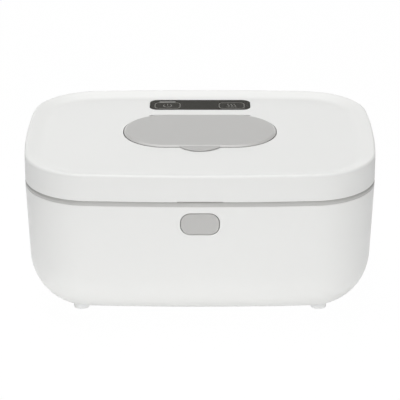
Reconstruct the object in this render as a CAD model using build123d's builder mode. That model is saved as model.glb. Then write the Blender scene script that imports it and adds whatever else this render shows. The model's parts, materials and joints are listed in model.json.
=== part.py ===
from build123d import *
from math import radians, sqrt, tan
import os

# A baby wipe warmer: a drafted body on four feet, a heated inner tub, a sprung release button at the
# front, and a rear-hinged lid that carries a touch panel and a small dispensing flap.
# Millimetres. +Z is up, the front faces -Y, and the origin is on the table under the body's middle.

# ---------------------------------------------------------------- driving dimensions
# Body and lid, outside
width = 220.0
depth = 158.2
corner_radius = 41.0
front_bow = 5.3  # how far the front and back bulge at their middle
side_bow = 6.3  # how far the two sides bulge
foot_height = 4.5
body_height = 78.1
body_draft = 2.2  # degrees, the body narrows downwards
bottom_radius = 29.0
ring_height = 2.7
lid_height = 16.8
lid_gap = 0.2
crest_radius = 1.6
crest_flat = 0.3
dish_depth = 2.5
dish_run = 8.5  # width of the slope from the crest down to the panel
shell_wall = 2.5
lid_wall = 2.4

# Feet
foot_inset_x = 35.0  # from the body's side to a foot's middle
foot_inset_y = 35.1
foot_radius = 4.95
foot_seat = 0.8
foot_edge = 0.7
foot_stem_radius = 2.0
foot_stem_length = 5.5
foot_boss_radius = 4.0

# Bottom cover
cover_inset_x = 43.0  # from the body's side to the cover's edge
cover_inset_y = 42.1
cover_corner = 8.0
cover_thickness = 2.4
cover_ledge = 7.5
ledge_thickness = 2.5
vent_length = 34.0
vent_width = 2.2
vent_count = 5
cover_screw_inset = 13.0  # from the cover's end to its outer screws
cover_boss_radius = 3.4
cover_boss_height = 6.5  # above the ledge's underside

# Screws, all of one size
screw_radius = 1.15
screw_head_radius = 2.3
screw_head_height = 1.2
screw_length = 7.0

# Trim ring and inner tub
ring_band = 4.5
ring_foot_reach = 3.5  # from the band inwards
ring_foot_thickness = 2.0
tub_inset_x = 15.0  # from the body's side to the tub's inner wall
tub_floor_height = 19.1  # above the body's underside
tub_corner = 22.0
tub_floor_radius = 9.0
tub_wall = 1.6
flange_thickness = 2.0
snap_x = 55.0
snap_length = 12.0
snap_thickness = 1.5
snap_bite = 1.2
snap_drop = 4.0

# Heater under the tub
plate_inset_x = 11.0  # from the edge of the tub's flat floor
plate_inset_y = 5.0
plate_corner = 12.0
plate_thickness = 1.2
film_margin = 4.0
film_thickness = 0.5
pad_thickness = 4.0
tray_wall = 1.5
tray_post_radius = 3.2
tray_post_gap = 1.3  # between a post and the plate's end
tray_post_y = 20.0
sensor_radius = 1.6
sensor_length = 6.0
fuse_radius = 1.9
fuse_length = 11.0
sensor_offset_x = 30.0

# Power board and its parts
board_length = 62.0
board_width = 40.0
board_thickness = 1.6
board_post_height = 2.2
board_post_radius = 2.5
board_part_height = 2.6
board_part_size = 9.0
plug_length = 8.0
plug_width = 5.0
plug_height = 2.4
plug_inset = 2.0  # from the board's edge
jack_plug_y = 12.0
heater_plug_x = -20.0
heater_lead_pitch = 4.0

# Power inlet
jack_inset_x = 48.0  # from the body's side
jack_height = 41.5  # above the body's underside
jack_thread_radius = 4.0
jack_flange_radius = 5.5
jack_flange_thickness = 1.2
jack_length = 13.0
jack_socket_radius = 2.75
jack_socket_depth = 9.5
jack_pin_radius = 1.0
jack_pad_radius = 7.0
nut_across_flats = 11.0
nut_thickness = 2.0

# Lid hinge
hinge_pin_radius = 1.5
knuckle_radius = 4.2
knuckle_gap = 0.4  # between a knuckle and the neighbouring lid or body
hinge_station = 47.0
lid_knuckle_length = 14.0
base_knuckle_length = 8.0
knuckle_end_gap = 0.3
gusset_height = 15.0
lug_height = 7.0
hinge_spring_wire = 0.5
hinge_spring_radius = 2.35
hinge_spring_turns = 6
hinge_spring_length = 6.6
hinge_spring_room = 0.35

# Release button, its guide and the lid's catch
button_width = 23.5
button_height = 13.9
button_corner = 6.0
button_drop = 11.5  # from the body's top down to the button's middle
button_gap = 0.35
button_edge = 0.7
button_travel = 2.0
button_proud = 0.3
button_flange_lap = 1.6
button_flange_thickness = 1.5
button_stem_radius = 3.0
button_spring_wire = 0.6
button_spring_radius = 4.2
button_spring_turns = 3.5
button_spring_pressed = 4.0  # its length with the button fully in
guide_thickness = 1.5
guide_width = 46.0
guide_drop = 11.5  # from the button's middle down to the guide's lower edge
guide_rise = 8.0
guide_screw_x = 19.0
guide_screw_margin = 3.0
guide_boss_radius = 2.6
catch_width = 11.0
catch_thickness = 1.8
catch_bite = 1.2
catch_gap = 0.6  # between the guide and the catch's tongue
catch_nose_drop = 5.5  # from the button's middle down to the nose
catch_nose_height = 2.6
catch_window = 3.6
catch_swing = 4.2  # room in front of the tongue as the lid swings up
catch_head = 3.4
catch_head_thickness = 1.5
catch_seal_gap = 2.7

# Lid liner and seal
liner_thickness = 1.8
liner_lift = 2.1  # from the lid's lower edge up to the liner
seal_width = 2.8
seal_offset = 4.0  # from the tub's inner wall to the middle of the seal
seal_seat = 1.0  # how deep the seal sits in the liner
lid_boss_radius = 3.2
screw_seal_gap = 0.6
lid_screw_row_x = 34.0
boss_board_gap = 0.8  # between a lid boss and the touch board
notch_length = 28.0
notch_height = 0.7
notch_depth = 1.2

# Flap, its well and the dispensing mouth
flap_length = 97.0
flap_width = 58.0
flap_corner = 27.5
flap_centre_y = 5.6
flap_rise = 1.2
flap_plate = 2.0
flap_edge = 1.0
flap_skirt = 2.1
flap_skirt_wall = 1.5
tab_width = 25.4
tab_reach = 7.6
tab_drop = 0.3  # from the flap's top down to the tab's
tab_thickness = 0.7
well_depth = 5.2
well_gap = 0.5
well_rear_room = 1.9
well_wall = 2.0
well_corner = 2.5
mouth_length = 60.0
mouth_width = 20.0
mouth_wall = 1.8
mouth_flange = 4.0
mouth_flange_thickness = 1.4
mouth_lip = 2.4  # above the well's floor
flap_seal_wall = 1.6
flap_pin_radius = 0.75
flap_knuckle_radius = 1.4
flap_hinge_inset = 0.8  # from the flap's rear edge forwards to the pin
flap_hinge_drop = 2.3  # from the flap's top down to the pin
flap_opening = 100.0  # degrees
flap_hinge_x = 20.0
flap_knuckle_length = 9.0
flap_ear_width = 3.0
flap_ear_depth = 3.2  # in front of the pin
flap_ear_rear = 0.6

# Touch panel
window_length = 66.3
window_width = 19.3
window_corner = 5.5
window_inset_y = 23.6  # from the lid's rear edge to the window's middle
window_thickness = 1.2
touch_board_margin_x = 2.85  # beyond the window
touch_board_margin_y = 1.35
touch_post_radius = 2.0
key_x = 21.2
key_offset_y = -2.0  # from the window's middle
key_spring_radius = 3.4
key_spring_wire = 0.5
key_spring_turns = 2.0
light_x = -21.5
light_offset_y = 5.7  # from the window's middle
light_length = 11.5
light_width = 1.4
touch_gap = 2.6  # between the lid's underside and the touch board

# Wires
wire_radius = 1.1
wire_bend = 18.0
wire_lift = 1.2  # from the board up to a lead's middle
lid_cable_x = 10.0
lid_cable_room = 5.8  # between the tub's wall and the cable

# Clearances
fit = 0.15  # fixed pieces beside each other
pin_fit = 0.04  # a turning pin in its bore, radial
press_fit = 0.01  # a pin held fast, radial
slide_fit = 0.1  # the button's stem in its guide
soft_fit = 0.3  # soft or curved faces of pieces that move apart

# ---------------------------------------------------------------- levels and places
body_bottom = foot_height
body_top = body_bottom + body_height
ring_top = body_top + ring_height
lid_bottom = ring_top + lid_gap
lid_top = lid_bottom + lid_height
panel_z = lid_top - dish_depth
panel_under = panel_z - lid_wall
liner_bottom = lid_bottom + liner_lift
liner_top = liner_bottom + liner_thickness
draft_slope = tan(radians(body_draft))
back_radius = ((width / 2) ** 2 + front_bow**2) / (2 * front_bow)
side_radius = ((depth / 2) ** 2 + side_bow**2) / (2 * side_bow)

foot_seat_z = body_bottom + foot_seat
cover_under = body_bottom
ledge_under = cover_under + cover_thickness
cover_length = width - 2 * cover_inset_x
cover_width = depth - 2 * cover_inset_y
cover_screw_x = cover_length / 2 - cover_screw_inset
cover_screw_y = cover_width / 2 - cover_ledge / 2
vent_pitch = (cover_length / 2 - cover_ledge - board_length / 2) / (vent_count + 1)
board_z = ledge_under + board_post_height
board_top = board_z + board_thickness
lead_z = board_top + wire_lift

flange_top = body_top + flange_thickness
tub_floor = body_bottom + tub_floor_height
tub_under = tub_floor - tub_wall
film_z = tub_under - plate_thickness - film_thickness
pad_z = film_z - pad_thickness
tray_z = pad_z - tray_wall

hinge_y = depth / 2 + knuckle_gap + knuckle_radius
hinge_z = body_top + ring_height / 2
pin_length = lid_knuckle_length + 2 * (knuckle_end_gap + base_knuckle_length)

window_y = depth / 2 - window_inset_y
touch_board_length = window_length + 2 * touch_board_margin_x
touch_board_width = window_width + 2 * touch_board_margin_y
key_y = window_y + key_offset_y
light_y = window_y + light_offset_y

flap_top = panel_z + flap_rise
flap_under = flap_top - flap_plate
flap_rear = flap_centre_y + flap_width / 2
flap_front = flap_centre_y - flap_width / 2
flap_pin_y = flap_rear - flap_hinge_inset
flap_pin_z = flap_top - flap_hinge_drop
well_floor = panel_z - well_depth
well_under = well_floor - lid_wall
mouth_top = well_floor + mouth_lip

foot_places = [
    (sx * (width / 2 - foot_inset_x), sy * (depth / 2 - foot_inset_y))
    for sx in (1, -1)
    for sy in (1, -1)
]
cover_screw_places = [(sx * cover_screw_x, sy * cover_screw_y) for sx in (-1, 0, 1) for sy in (1, -1)]
board_places = [
    (sx * (board_length / 2 - board_post_radius), sy * (board_width / 2 - board_post_radius))
    for sx in (1, -1)
    for sy in (1, -1)
]


def wall_y(x, z, inset=0.0):
    """How far behind the middle the body's rear wall stands at x and z. The front wall mirrors it."""
    bowed = depth / 2 - back_radius + sqrt((back_radius - inset) ** 2 - x**2)
    return bowed - (body_top - z) * draft_slope


button_z = body_top - button_drop
button_wall = wall_y(0, button_z, shell_wall)
button_flange_front = (
    -wall_y(button_width / 2, button_z - button_height / 2 - button_flange_lap, shell_wall) + soft_fit
)
button_flange_rear = button_flange_front + button_flange_thickness
guide_front = button_flange_rear + button_travel + button_spring_pressed
guide_rear = guide_front + guide_thickness
guide_screw_places = [
    (sx * guide_screw_x, z)
    for sx in (1, -1)
    for z in (button_z - guide_drop + guide_screw_margin, button_z + guide_rise - guide_screw_margin)
]
catch_front = guide_rear + catch_gap
catch_rear = catch_front + catch_thickness
catch_nose_top = button_z - catch_nose_drop
catch_bottom = catch_nose_top - catch_nose_height
jack_x = width / 2 - jack_inset_x
jack_z = body_bottom + jack_height
jack_face = wall_y(jack_x + jack_pad_radius, jack_z) - jack_flange_thickness
jack_wall_inner = jack_face - shell_wall

# The tub fills what the side walls, and the catch and seal in front, leave of the body
seal_reach = seal_offset + seal_width / 2  # from the tub's inner wall to the seal's outer edge
tub_length = width - 2 * tub_inset_x
tub_width = -2 * (catch_rear + catch_seal_gap + seal_reach)
plate_length = tub_length - 2 * (tub_floor_radius + plate_inset_x)
plate_width = tub_width - 2 * (tub_floor_radius + plate_inset_y)
tray_post_x = plate_length / 2 + tray_post_gap + tray_post_radius
tray_places = [(sx * tray_post_x, sy * tray_post_y) for sx in (1, -1) for sy in (1, -1)]
lid_cable_y = tub_width / 2 + tub_wall + lid_cable_room + wire_radius
lid_screw_end_x = tub_length / 2 + seal_reach + screw_seal_gap + screw_head_radius
lid_screw_row_y = window_y + touch_board_width / 2 + boss_board_gap + lid_boss_radius
lid_screw_places = [(sx * lid_screw_end_x, 0) for sx in (1, -1)] + [
    (sx * lid_screw_row_x, sy * lid_screw_row_y) for sx in (1, -1) for sy in (1, -1)
]


# ---------------------------------------------------------------- shared shapes
class Outline(BaseSketchObject):
    """The warmer's plan outline moved inwards by inset: eight tangent arcs."""

    def __init__(self, inset=0.0, mode=Mode.ADD):
        back_centre = Vector(0, depth / 2 - back_radius)
        side_centre = Vector(width / 2 - side_radius, 0)
        # A corner arc touches both big arcs from inside, so its centre is where two circles cross
        back_reach = back_radius - corner_radius
        side_reach = side_radius - corner_radius
        span = side_centre - back_centre
        along = (span.length**2 + back_reach**2 - side_reach**2) / (2 * span.length)
        across = sqrt(back_reach**2 - along**2)
        towards = span.normalized()
        corner = back_centre + towards * along + Vector(-towards.Y, towards.X) * -across

        back_end = back_centre + (corner - back_centre).normalized() * (back_radius - inset)
        side_end = side_centre + (corner - side_centre).normalized() * (side_radius - inset)
        outward = ((back_end + side_end) * 0.5 - corner).normalized()
        corner_middle = corner + outward * (corner_radius - inset)
        with BuildSketch(mode=Mode.PRIVATE) as outline:
            with BuildLine():
                for sy in (1, -1):
                    ThreePointArc(
                        (-back_end.X, sy * back_end.Y),
                        (0, sy * (depth / 2 - inset)),
                        (back_end.X, sy * back_end.Y),
                    )
                for sx in (1, -1):
                    ThreePointArc(
                        (sx * side_end.X, side_end.Y),
                        (sx * (width / 2 - inset), 0),
                        (sx * side_end.X, -side_end.Y),
                    )
                    for sy in (1, -1):
                        ThreePointArc(
                            (sx * back_end.X, sy * back_end.Y),
                            (sx * corner_middle.X, sy * corner_middle.Y),
                            (sx * side_end.X, sy * side_end.Y),
                        )
            make_face()
        super().__init__(obj=outline.sketch, rotation=0, align=None, mode=mode)


def body_form(inset):
    """The body's outer form moved inwards by inset, rounded at the bottom and open upwards."""
    with BuildPart() as form:
        with BuildSketch(Plane.XY.offset(body_bottom + inset)):
            Outline((body_height - inset) * draft_slope + inset)
        extrude(amount=body_height, taper=-body_draft)
        fillet(form.edges().group_by(Axis.Z)[0], bottom_radius - inset)
    return form.part


def block(low, high, mode=Mode.ADD):
    """A box between two opposite corners."""
    size = [b - a for a, b in zip(low, high)]
    middle = [(a + b) / 2 for a, b in zip(low, high)]
    with Locations(tuple(middle)):
        Box(*size, mode=mode)


def screws(plane, places):
    """Pan-head screws whose heads bear on the plane and whose shanks run along its normal."""
    with BuildPart() as group:
        with BuildSketch(plane):
            with Locations(*places):
                Circle(screw_head_radius)
        extrude(amount=-screw_head_height)
        with BuildSketch(plane):
            with Locations(*places):
                Circle(screw_radius)
        extrude(amount=screw_length)
    return group.part


def coil(origin, direction, coil_radius, wire_size, turns, length):
    """A round-wire coil of the given overall length, starting at origin."""
    rise = length - wire_size
    start = Vector(*origin) + Vector(*direction) * (wire_size / 2)
    with BuildPart() as spring:
        with BuildLine():
            turn = Helix(
                pitch=rise / turns, height=rise, radius=coil_radius, center=start, direction=direction
            )
        with BuildSketch(Plane(origin=turn @ 0, z_dir=turn % 0)):
            Circle(wire_size / 2)
        sweep(path=turn, is_frenet=True)
    return spring.part


def lead(points, radii):
    """A round lead along straight runs joined by tangent arcs."""
    with BuildPart() as cable:
        with BuildLine():
            route = FilletPolyline(*points, radius=radii)
        with BuildSketch(Plane(origin=route @ 0, z_dir=route % 0)):
            Circle(wire_radius)
        sweep(path=route)
    return cable.part


def finish(piece, name):
    """Label one finished piece and write it."""
    piece.label = name
    export_step(piece, f"parts/{name}.step")


os.makedirs("parts", exist_ok=True)

# ---------------------------------------------------------------- base shell
base_knuckle_start = lid_knuckle_length / 2 + knuckle_end_gap
base_knuckle_places = [
    sx * hinge_station + x
    for sx in (1, -1)
    for x in (-base_knuckle_start - base_knuckle_length, base_knuckle_start)
]

with BuildPart() as base_shell:
    add(body_form(0))
    add(body_form(shell_wall), mode=Mode.SUBTRACT)
    block((-width, -depth, body_top), (width, depth, body_top + body_height), mode=Mode.SUBTRACT)
    # Ledge and bosses that the bottom cover is screwed up against
    with BuildSketch(Plane.XY.offset(ledge_under)):
        RectangleRounded(
            cover_length + 2 * shell_wall, cover_width + 2 * shell_wall, cover_corner + shell_wall
        )
    extrude(amount=ledge_thickness)
    with BuildSketch(Plane.XY.offset(ledge_under)):
        with Locations(*cover_screw_places):
            Circle(cover_boss_radius)
    extrude(amount=cover_boss_height)
    with BuildSketch(Plane.XY.offset(ledge_under)):
        RectangleRounded(cover_length - 2 * cover_ledge, cover_width - 2 * cover_ledge, cover_corner / 2)
        with Locations(*cover_screw_places):
            Circle(cover_boss_radius, mode=Mode.SUBTRACT)
    extrude(amount=cover_boss_height, mode=Mode.SUBTRACT)
    with BuildSketch(Plane.XY.offset(cover_under)):
        RectangleRounded(cover_length + 2 * fit, cover_width + 2 * fit, cover_corner + fit)
    extrude(amount=cover_thickness, mode=Mode.SUBTRACT)
    with BuildSketch(Plane.XY.offset(ledge_under)):
        with Locations(*cover_screw_places):
            Circle(screw_radius)
    extrude(amount=cover_boss_height - fit, mode=Mode.SUBTRACT)
    # Foot bosses, each with a flat seat and a hole for the foot's stem
    with BuildSketch(Plane.XY.offset(body_bottom + shell_wall / 2)):
        with Locations(*foot_places):
            Circle(foot_boss_radius)
    extrude(amount=foot_seat + foot_stem_length)
    with BuildSketch(Plane.XY.offset(body_bottom)):
        with Locations(*foot_places):
            Circle(foot_radius + fit)
    extrude(amount=foot_seat, mode=Mode.SUBTRACT)
    with BuildSketch(Plane.XY.offset(body_bottom)):
        with Locations(*foot_places):
            Circle(foot_stem_radius + pin_fit)
    extrude(amount=foot_seat + foot_stem_length + fit, mode=Mode.SUBTRACT)
    # Bosses for the button's guide, and the button's opening
    with BuildSketch(Plane.XZ.offset(-guide_front)):
        with Locations(*guide_screw_places):
            Circle(guide_boss_radius)
    extrude(amount=button_wall + guide_front + shell_wall / 2)
    with BuildSketch(Plane.XZ.offset(-guide_front)):
        with Locations(*guide_screw_places):
            Circle(screw_radius)
    extrude(amount=screw_length, mode=Mode.SUBTRACT)
    with BuildSketch(Plane.XZ.offset(button_wall / 2)):
        with Locations((0, button_z)):
            RectangleRounded(
                button_width + 2 * button_gap, button_height + 2 * button_gap, button_corner + button_gap
            )
    extrude(amount=depth, mode=Mode.SUBTRACT)
    # Flat pad and hole for the power inlet
    with BuildSketch(Plane.XZ.offset(-jack_wall_inner)):
        with Locations((jack_x, jack_z)):
            Circle(jack_pad_radius + shell_wall)
    extrude(amount=-shell_wall)
    with BuildSketch(Plane.XZ.offset(-jack_face)):
        with Locations((jack_x, jack_z)):
            Circle(jack_pad_radius)
    extrude(amount=-shell_wall, mode=Mode.SUBTRACT)
    with BuildSketch(Plane.XZ.offset(-jack_wall_inner)):
        with Locations((jack_x, jack_z)):
            Circle(jack_thread_radius + fit)
    extrude(amount=-shell_wall, mode=Mode.SUBTRACT)
    # Hinge knuckles on gussets that grow out of the rear wall
    for x in base_knuckle_places:
        with BuildSketch(Plane.YZ.offset(x)):
            with Locations((hinge_y, hinge_z)):
                Circle(knuckle_radius)
            with BuildLine():
                Polyline(
                    (depth / 2 - shell_wall, hinge_z - knuckle_radius - gusset_height),
                    (depth / 2 - shell_wall, body_top - lid_gap),
                    (hinge_y - knuckle_radius, body_top - lid_gap),
                    (hinge_y - knuckle_radius, hinge_z),
                    (hinge_y + knuckle_radius, hinge_z),
                    close=True,
                )
            make_face()
        extrude(amount=base_knuckle_length)
    with BuildSketch(Plane.YZ.offset(-width / 2)):
        with Locations((hinge_y, hinge_z)):
            Circle(hinge_pin_radius + press_fit)
    extrude(amount=width, mode=Mode.SUBTRACT)
finish(base_shell.part, "base_shell")

# ---------------------------------------------------------------- bottom cover
with BuildPart() as bottom_cover:
    with BuildSketch(Plane.XY.offset(cover_under)):
        RectangleRounded(cover_length, cover_width, cover_corner)
    extrude(amount=cover_thickness)
    with BuildSketch(Plane.XY.offset(ledge_under)):
        with Locations(*board_places):
            Circle(board_post_radius)
    extrude(amount=board_post_height)
    with BuildSketch(Plane.XY.offset(cover_under)):
        for side in (1, -1):
            with Locations((side * (board_length / 2 + vent_pitch * (vent_count + 1) / 2), 0)):
                with GridLocations(vent_pitch, 1, vent_count, 1):
                    SlotOverall(vent_length, vent_width, rotation=90)
    extrude(amount=cover_thickness, mode=Mode.SUBTRACT)
    with BuildSketch(Plane.XY.offset(cover_under)):
        with Locations(*cover_screw_places):
            Circle(screw_head_radius + fit)
    extrude(amount=screw_head_height, mode=Mode.SUBTRACT)
    with BuildSketch(Plane.XY.offset(cover_under)):
        with Locations(*cover_screw_places):
            Circle(screw_radius + fit)
    extrude(amount=cover_thickness, mode=Mode.SUBTRACT)
finish(bottom_cover.part, "bottom_cover")
finish(screws(Plane.XY.offset(cover_under + screw_head_height), cover_screw_places), "cover_screws")

# ---------------------------------------------------------------- feet
for name, (x, y) in zip(("rear_right", "front_right", "rear_left", "front_left"), foot_places):
    with BuildPart() as foot:
        with BuildSketch():
            with Locations((x, y)):
                Circle(foot_radius)
        extrude(amount=foot_height + foot_seat)
        fillet(foot.edges().group_by(Axis.Z)[0], foot_edge)
        with BuildSketch(Plane.XY.offset(foot_seat_z)):
            with Locations((x, y)):
                Circle(foot_stem_radius)
        extrude(amount=foot_stem_length)
    finish(foot.part, f"{name}_foot")

# ---------------------------------------------------------------- trim ring
with BuildPart() as trim_ring:
    with BuildSketch(Plane.XY.offset(body_top)):
        Outline()
        Outline(ring_band, mode=Mode.SUBTRACT)
    extrude(amount=ring_height)
    with BuildSketch(Plane.XY.offset(body_top)):
        Outline(shell_wall + fit)
        Outline(ring_band + ring_foot_reach, mode=Mode.SUBTRACT)
    extrude(amount=-ring_foot_thickness)
finish(trim_ring.part, "trim_ring")

# ---------------------------------------------------------------- inner tub
catch_slot_low = (-catch_width / 2 - catch_gap, catch_front - catch_swing, body_top - flange_thickness)
catch_slot_high = (catch_width / 2 + catch_gap, catch_rear + catch_gap, flange_top + flange_thickness)
snap_outer = ring_band + ring_foot_reach + soft_fit

with BuildPart() as inner_tub:
    with BuildSketch(Plane.XY.offset(tub_under)):
        RectangleRounded(tub_length + 2 * tub_wall, tub_width + 2 * tub_wall, tub_corner + tub_wall)
    extrude(amount=flange_top - tub_under)
    fillet(inner_tub.edges().group_by(Axis.Z)[0], tub_floor_radius + tub_wall)
    with BuildSketch(Plane.XY.offset(body_top)):
        Outline(ring_band + fit)
    extrude(amount=flange_thickness)
    with BuildPart(mode=Mode.PRIVATE) as tub_room:
        with BuildSketch(Plane.XY.offset(tub_floor)):
            RectangleRounded(tub_length, tub_width, tub_corner)
        extrude(amount=flange_top - tub_floor)
        fillet(tub_room.edges().group_by(Axis.Z)[0], tub_floor_radius)
    add(tub_room.part, mode=Mode.SUBTRACT)
    # Posts that the heater's tray is screwed to
    with BuildSketch(Plane.XY.offset(tub_under)):
        with Locations(*tray_places):
            Circle(tray_post_radius)
            Circle(screw_radius, mode=Mode.SUBTRACT)
    extrude(amount=pad_z - tub_under)
    # Snaps that grip under the trim ring's foot
    for bite, top, drop in (
        (0, body_top, snap_drop + ring_foot_thickness),
        (snap_bite, body_top - ring_foot_thickness - fit, snap_drop - fit),
    ):
        with BuildSketch(Plane.XY.offset(top)):
            with Locations(*[(sx * snap_x, sy * depth / 2) for sx in (1, -1) for sy in (1, -1)]):
                Rectangle(snap_length, depth / 4)
            with BuildSketch(mode=Mode.PRIVATE) as band:
                Outline(snap_outer - bite)
                Outline(snap_outer + snap_thickness, mode=Mode.SUBTRACT)
            add(band.sketch, mode=Mode.INTERSECT)
        extrude(amount=-drop)
    block(catch_slot_low, catch_slot_high, mode=Mode.SUBTRACT)
    with BuildSketch(Plane.XY.offset(body_top)):
        with Locations((lid_cable_x, lid_cable_y)):
            Circle(wire_radius + fit)
    extrude(amount=flange_thickness, mode=Mode.SUBTRACT)
finish(inner_tub.part, "inner_tub")

# ---------------------------------------------------------------- heater under the tub
sensor_place = (-sensor_offset_x, 0, film_z - sensor_radius)
fuse_place = (sensor_offset_x, 0, film_z - fuse_radius)
heater_lead_places = [(heater_plug_x + side * heater_lead_pitch / 2, 0) for side in (1, -1)]

with BuildPart() as heating_plate:
    with BuildSketch(Plane.XY.offset(tub_under)):
        RectangleRounded(plate_length, plate_width, plate_corner)
    extrude(amount=-plate_thickness)
finish(heating_plate.part, "heating_plate")

with BuildPart() as heater_film:
    with BuildSketch(Plane.XY.offset(tub_under - plate_thickness)):
        RectangleRounded(
            plate_length - 2 * film_margin, plate_width - 2 * film_margin, plate_corner - film_margin
        )
    extrude(amount=-film_thickness)
finish(heater_film.part, "heater_film")

with BuildPart() as temperature_sensor:
    with Locations(sensor_place):
        Cylinder(sensor_radius, sensor_length, rotation=(0, 90, 0))
finish(temperature_sensor.part, "temperature_sensor")

with BuildPart() as thermal_fuse:
    with Locations(fuse_place):
        Cylinder(fuse_radius, fuse_length, rotation=(0, 90, 0))
finish(thermal_fuse.part, "thermal_fuse")

with BuildPart() as insulation_pad:
    with BuildSketch(Plane.XY.offset(film_z)):
        RectangleRounded(plate_length, plate_width, plate_corner)
        with Locations((-sensor_offset_x, 0)):
            Rectangle(sensor_length + 2 * fit, 2 * (sensor_radius + fit), mode=Mode.SUBTRACT)
        with Locations((sensor_offset_x, 0)):
            Rectangle(fuse_length + 2 * fit, 2 * (fuse_radius + fit), mode=Mode.SUBTRACT)
        with Locations(*heater_lead_places):
            Circle(wire_radius + fit, mode=Mode.SUBTRACT)
    extrude(amount=-pad_thickness)
finish(insulation_pad.part, "insulation_pad")

with BuildPart() as heater_tray:
    with BuildSketch(Plane.XY.offset(pad_z)):
        RectangleRounded(2 * (tray_post_x + tray_post_radius), plate_width, plate_corner)
        with Locations(*tray_places):
            Circle(screw_radius + fit, mode=Mode.SUBTRACT)
        with Locations(*heater_lead_places):
            Circle(wire_radius + fit, mode=Mode.SUBTRACT)
    extrude(amount=-tray_wall)
finish(heater_tray.part, "heater_tray")
finish(screws(Plane.XY.offset(tray_z), tray_places), "tray_screws")

# ---------------------------------------------------------------- power board
jack_plug_face = board_length / 2 - plug_inset
cable_plug_face = board_width / 2 - plug_inset

with BuildPart() as power_board:
    with BuildSketch(Plane.XY.offset(board_z)):
        RectangleRounded(board_length, board_width, board_post_radius)
    extrude(amount=board_thickness)
finish(power_board.part, "power_board")

with BuildPart() as board_parts:
    with BuildSketch(Plane.XY.offset(board_top)):
        with Locations((-board_length / 3, -board_width / 4)):
            Rectangle(board_part_size, board_part_size)
        with Locations((0, -board_width / 4)):
            Circle(board_part_size / 2)
        with Locations((board_length / 4, -board_width / 4)):
            Rectangle(board_part_size, board_part_size / 2)
        with Locations((-board_length / 3, board_width / 4)):
            Circle(board_part_size / 3)
    extrude(amount=board_part_height)
finish(board_parts.part, "board_parts")

with BuildPart() as board_plugs:
    with BuildSketch(Plane.XY.offset(board_top)):
        with Locations((jack_plug_face - plug_width / 2, jack_plug_y)):
            Rectangle(plug_width, plug_length)
        with Locations((lid_cable_x, cable_plug_face - plug_width / 2)):
            Rectangle(plug_length, plug_width)
        with Locations((heater_plug_x, 0)):
            Rectangle(plug_length, plug_width)
    extrude(amount=plug_height)
finish(board_plugs.part, "board_plugs")

# ---------------------------------------------------------------- power inlet and leads
with BuildPart() as power_inlet:
    with BuildSketch(Plane.XZ.offset(-jack_face)):
        with Locations((jack_x, jack_z)):
            Circle(jack_flange_radius)
    extrude(amount=-jack_flange_thickness)
    with BuildSketch(Plane.XZ.offset(-jack_face)):
        with Locations((jack_x, jack_z)):
            Circle(jack_thread_radius)
    extrude(amount=jack_length)
    with BuildSketch(Plane.XZ.offset(-jack_face - jack_flange_thickness)):
        with Locations((jack_x, jack_z)):
            Circle(jack_socket_radius)
            Circle(jack_pin_radius, mode=Mode.SUBTRACT)
    extrude(amount=jack_socket_depth, mode=Mode.SUBTRACT)
finish(power_inlet.part, "power_inlet")

with BuildPart() as inlet_nut:
    with BuildSketch(Plane.XZ.offset(-jack_wall_inner)):
        with Locations((jack_x, jack_z)):
            RegularPolygon(nut_across_flats / 2, 6, major_radius=False)
            Circle(jack_thread_radius + press_fit, mode=Mode.SUBTRACT)
    extrude(amount=nut_thickness)
finish(inlet_nut.part, "inlet_nut")

inlet_lead_y = jack_face - jack_length + 2 * wire_radius
finish(
    lead(
        [
            (jack_x, inlet_lead_y, jack_z - jack_thread_radius),
            (jack_x, inlet_lead_y, lead_z),
            (jack_x, jack_plug_y, lead_z),
            (jack_plug_face, jack_plug_y, lead_z),
        ],
        [wire_bend, wire_bend / 2],
    ),
    "inlet_lead",
)
finish(
    lead(
        [
            (lid_cable_x, cable_plug_face, lead_z),
            (lid_cable_x, lid_cable_y, lead_z),
            (lid_cable_x, lid_cable_y, flange_top),
        ],
        [wire_bend],
    ),
    "lid_cable_lower",
)

with BuildPart() as heater_leads:
    with BuildSketch(Plane.XY.offset(board_top + plug_height)):
        with Locations(*heater_lead_places):
            Circle(wire_radius)
    extrude(amount=film_z - board_top - plug_height)
finish(heater_leads.part, "heater_leads")

# ---------------------------------------------------------------- hinge pins and springs
spring_room_depth = hinge_spring_length + soft_fit

with BuildPart() as hinge_pins:
    for side in (1, -1):
        with BuildSketch(Plane.YZ.offset(side * hinge_station - pin_length / 2)):
            with Locations((hinge_y, hinge_z)):
                Circle(hinge_pin_radius)
        extrude(amount=pin_length)
finish(hinge_pins.part, "hinge_pins")

with BuildPart() as hinge_springs:
    for side in (1, -1):
        start_x = side * (hinge_station - lid_knuckle_length / 2 + soft_fit / 2)
        add(
            coil(
                (start_x, hinge_y, hinge_z),
                (side, 0, 0),
                hinge_spring_radius,
                hinge_spring_wire,
                hinge_spring_turns,
                hinge_spring_length,
            )
        )
finish(hinge_springs.part, "hinge_springs")

# ---------------------------------------------------------------- release button and its guide
with BuildPart() as release_button:
    with BuildSketch(Plane.XZ.offset(-button_flange_front)):
        with Locations((0, button_z)):
            RectangleRounded(button_width, button_height, button_corner)
    extrude(amount=depth)
    add(body_form(-button_proud), mode=Mode.INTERSECT)
    fillet(release_button.faces().sort_by(Axis.Y)[0].edges(), button_edge)
    with BuildSketch(Plane.XZ.offset(-button_flange_rear)):
        with Locations((0, button_z)):
            RectangleRounded(
                button_width + 2 * button_flange_lap, button_height + 2 * button_flange_lap, button_corner
            )
    extrude(amount=button_flange_thickness)
    with BuildSketch(Plane.XZ.offset(soft_fit - catch_front)):
        with Locations((0, button_z)):
            Circle(button_stem_radius)
    extrude(amount=catch_front - soft_fit - button_flange_rear)
finish(release_button.part, "release_button")

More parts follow.
